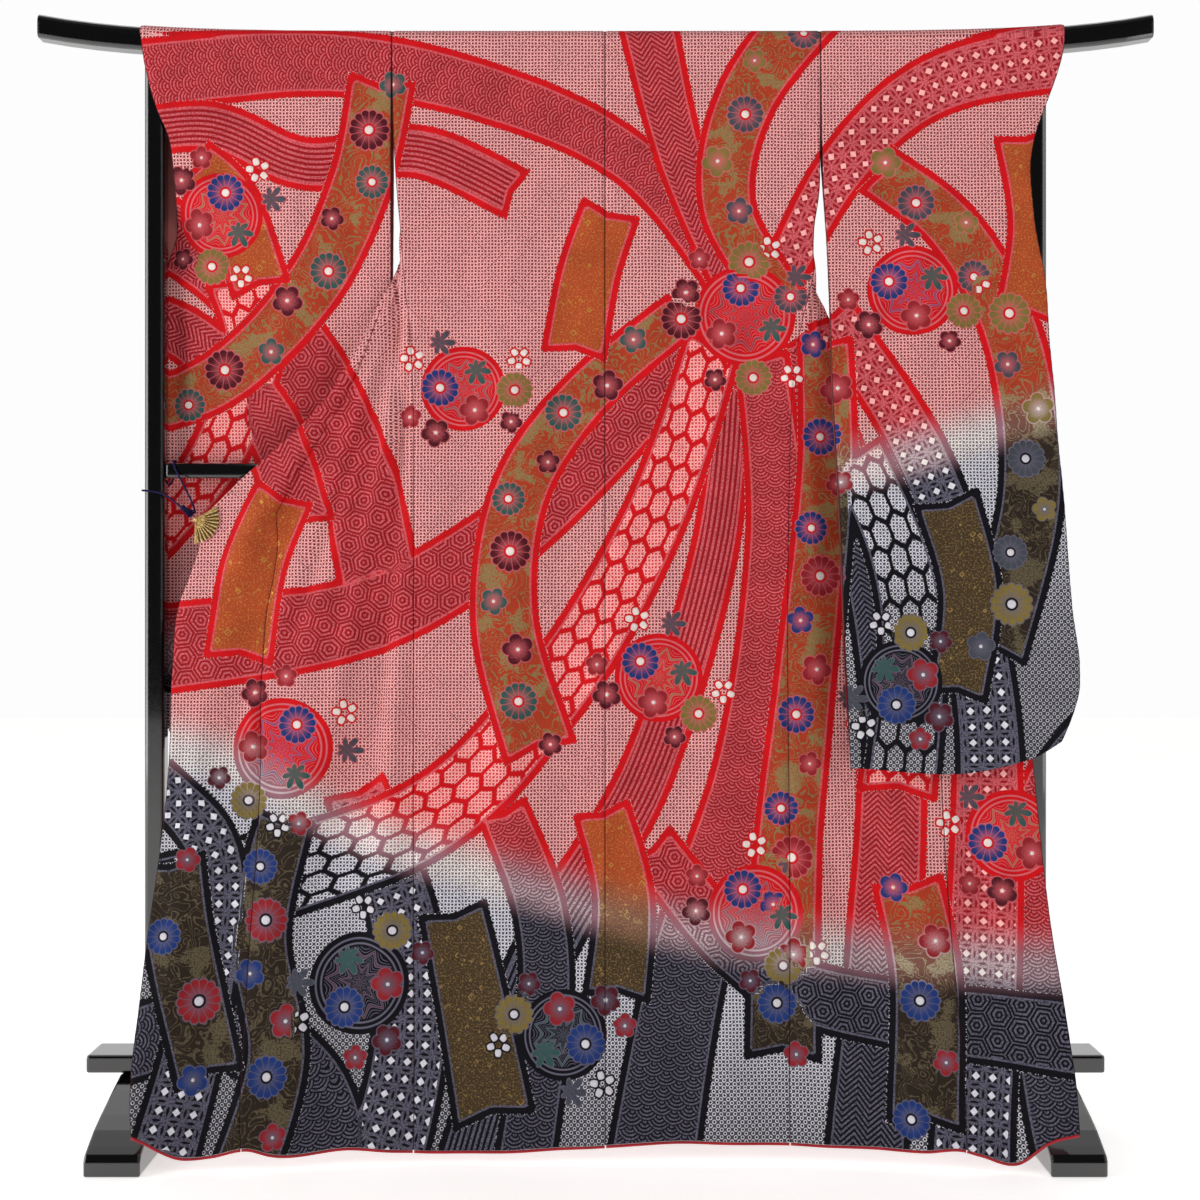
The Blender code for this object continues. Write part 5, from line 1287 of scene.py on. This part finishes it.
def fan_guard(bm, along, height):
    """An outer stick: a flat bar that runs from behind the rivet to past the leaf."""
    angle = math.radians(FAN_FROM + along * (FAN_TO - FAN_FROM))
    for vert in bmesh.ops.create_cube(bm, size=1.0)["verts"]:
        out = FAN_RADIUS + 0.001 if vert.co.x > 0 else -GUARD_TAIL
        wide = vert.co.y * GUARD[0] * (1.0 if vert.co.x > 0 else 0.6)
        turned = Vector((-math.sin(angle), 0.0, math.cos(angle))) * wide
        vert.co = fan_spot(along, out, height + vert.co.z * GUARD[1]) + turned


for side, sign in OUTWARD.items():
    corner, above, below = edge_point(side, CLIP_HEIGHTS)
    seam = seam_point(side, CLIP_HEIGHTS)[0]
    slope_x = (seam[1] - corner[1]) / (seam[0] - corner[0])
    slope_z = (above[1] - below[1] - slope_x * (above[0] - below[0])) / (above[2] - below[2])
    bm = bmesh.new()
    for toward in (-1, 1):
        leaf = bmesh.ops.create_grid(bm, x_segments=FAN_STEPS * FAN_RIBS, y_segments=8, size=1.0)["verts"]
        for vert in leaf:
            along, out = (vert.co.x + 1) / 2, (vert.co.y + 1) / 2
            fold = abs((along * FAN_RIBS) % 1.0 - 0.5) * 2
            radius = FAN_LEAF_START + out * (FAN_RADIUS - FAN_LEAF_START - FAN_NOTCH * fold)
            vert.co = fan_spot(along, radius, toward * (FAN_CLEAR + FAN_PLEAT * (1 - fold) * out))
    bmesh.ops.recalc_face_normals(bm, faces=bm.faces[:])
    bmesh.ops.solidify(bm, geom=bm.faces[:], thickness=FAN_SHEET)
    # Faces on the falling side of each pleat, away from the rivet, take the dark brass: painted shade where
    # the pleats turn from the light.
    for face in bm.faces:
        middle = face.calc_center_median()
        along = (math.degrees(math.atan2(middle.z, middle.x)) - FAN_FROM) / (FAN_TO - FAN_FROM)
        between = abs((along * FAN_RIBS) % 1.0 - 0.5) * 2 > FAN_SHADE_SHARE
        face.material_index = int(between and middle.xz.length > FAN_SHADE_START)
    for toward in (-1, 1):
        for along in (0.0, 1.0):
            fan_guard(bm, along, toward * (FAN_CLEAR + GUARD_LIFT))
        dome = bmesh.ops.create_uvsphere(bm, u_segments=20, v_segments=10, radius=RIVET_RADIUS)["verts"]
        for vert in dome:
            vert.co.y = toward * (FAN_CLEAR + RIVET_LIFT) + vert.co.y * RIVET_DOME
    pin = bmesh.ops.create_cone(bm, cap_ends=True, segments=20, radius1=PIN_RADIUS, radius2=PIN_RADIUS,
                                depth=2 * FAN_CLEAR)
    bmesh.ops.rotate(bm, verts=pin["verts"], matrix=Matrix.Rotation(math.pi / 2, 3, "X"))
    for vert in bm.verts:
        x = -sign * (vert.co.x + FAN_PIVOT[0])
        vert.co = Vector((x, vert.co.y + corner[1], vert.co.z + FAN_PIVOT[1]))
        vert.co.y += slope_x * (vert.co.x - corner[0]) + slope_z * (vert.co.z - corner[2])
    clip = finish_piece("fan_clip_" + side, bm, tuple(gilding), "gilt_brass", "clip_" + side)
    edges = clip.modifiers.new("Worn edges", "BEVEL")
    edges.width = WORN_EDGE
    edges.segments = 2
    edges.limit_method = "ANGLE"
    edges.angle_limit = math.radians(50)

# The studio: a lit white floor, white all round, and three soft lights in front, the strongest at the
# left. What lacquer and silk reflect is dimmer toward the viewer than behind, as before a white wall.
FLOOR_REACH = 8.0
FLOOR_GLOW = 0.6
AIM = Vector((0.0, 0.0, 0.85))
ROOM = (0.05, 0.95)
LIGHTS = (
    ("Left softbox", (-4.5, -2.0, 1.6), 3.4, 3.6, 166.0), ("Right softbox", (2.7, -2.3, 1.4), 1.6, 2.6, 26.0),
    ("Top softbox", (0.0, -1.6, 3.2), 2.2, 2.2, 14.0),
)

bm = bmesh.new()
bmesh.ops.create_grid(bm, x_segments=1, y_segments=1, size=FLOOR_REACH)
mesh = bpy.data.meshes.new("floor")
bm.to_mesh(mesh)
bm.free()
floor = bpy.data.objects.new("floor", mesh)
scene.collection.objects.link(floor)
paint, tree = new_material("Pale floor paint")
place = add(tree, "TexCoord").node.outputs["Object"]
shade = add(tree, "Blend", add(tree, "TexNoise", place, 3.0, 3.0), linear("#f3f2f0"), linear("#f9f8f7"))
add(tree, "OutputMaterial", add(tree, "BsdfPrincipled", Base_Color=shade, Roughness=0.6,
                                Emission_Color=shade, Emission_Strength=FLOOR_GLOW))
mesh.materials.append(paint)
for name, spot_at, wide, tall, power in LIGHTS:
    lamp = bpy.data.lights.new(name, "AREA")
    lamp.shape = "RECTANGLE"
    lamp.size = wide
    lamp.size_y = tall
    lamp.energy = power
    holder = bpy.data.objects.new(name, lamp)
    holder.location = spot_at
    holder.rotation_euler = (AIM - Vector(spot_at)).to_track_quat("-Z", "Y").to_euler()
    scene.collection.objects.link(holder)
world = bpy.data.worlds.new("Studio")
world.use_nodes = True
sky = world.node_tree
sky.nodes.clear()
away = add(sky, "SeparateXYZ", add(sky, "TexCoord").node.outputs["Generated"]).node.outputs["Y"]
glow = add(sky, "Step", away, -0.2, 0.5, *ROOM)
seen = add(sky, "LightPath").node.outputs["Is Camera Ray"]
add(sky, "OutputWorld", add(sky, "Background", linear("#fdfdfe"), add(sky, "Mix.FLOAT", seen, glow, 1.0)))
scene.world = world
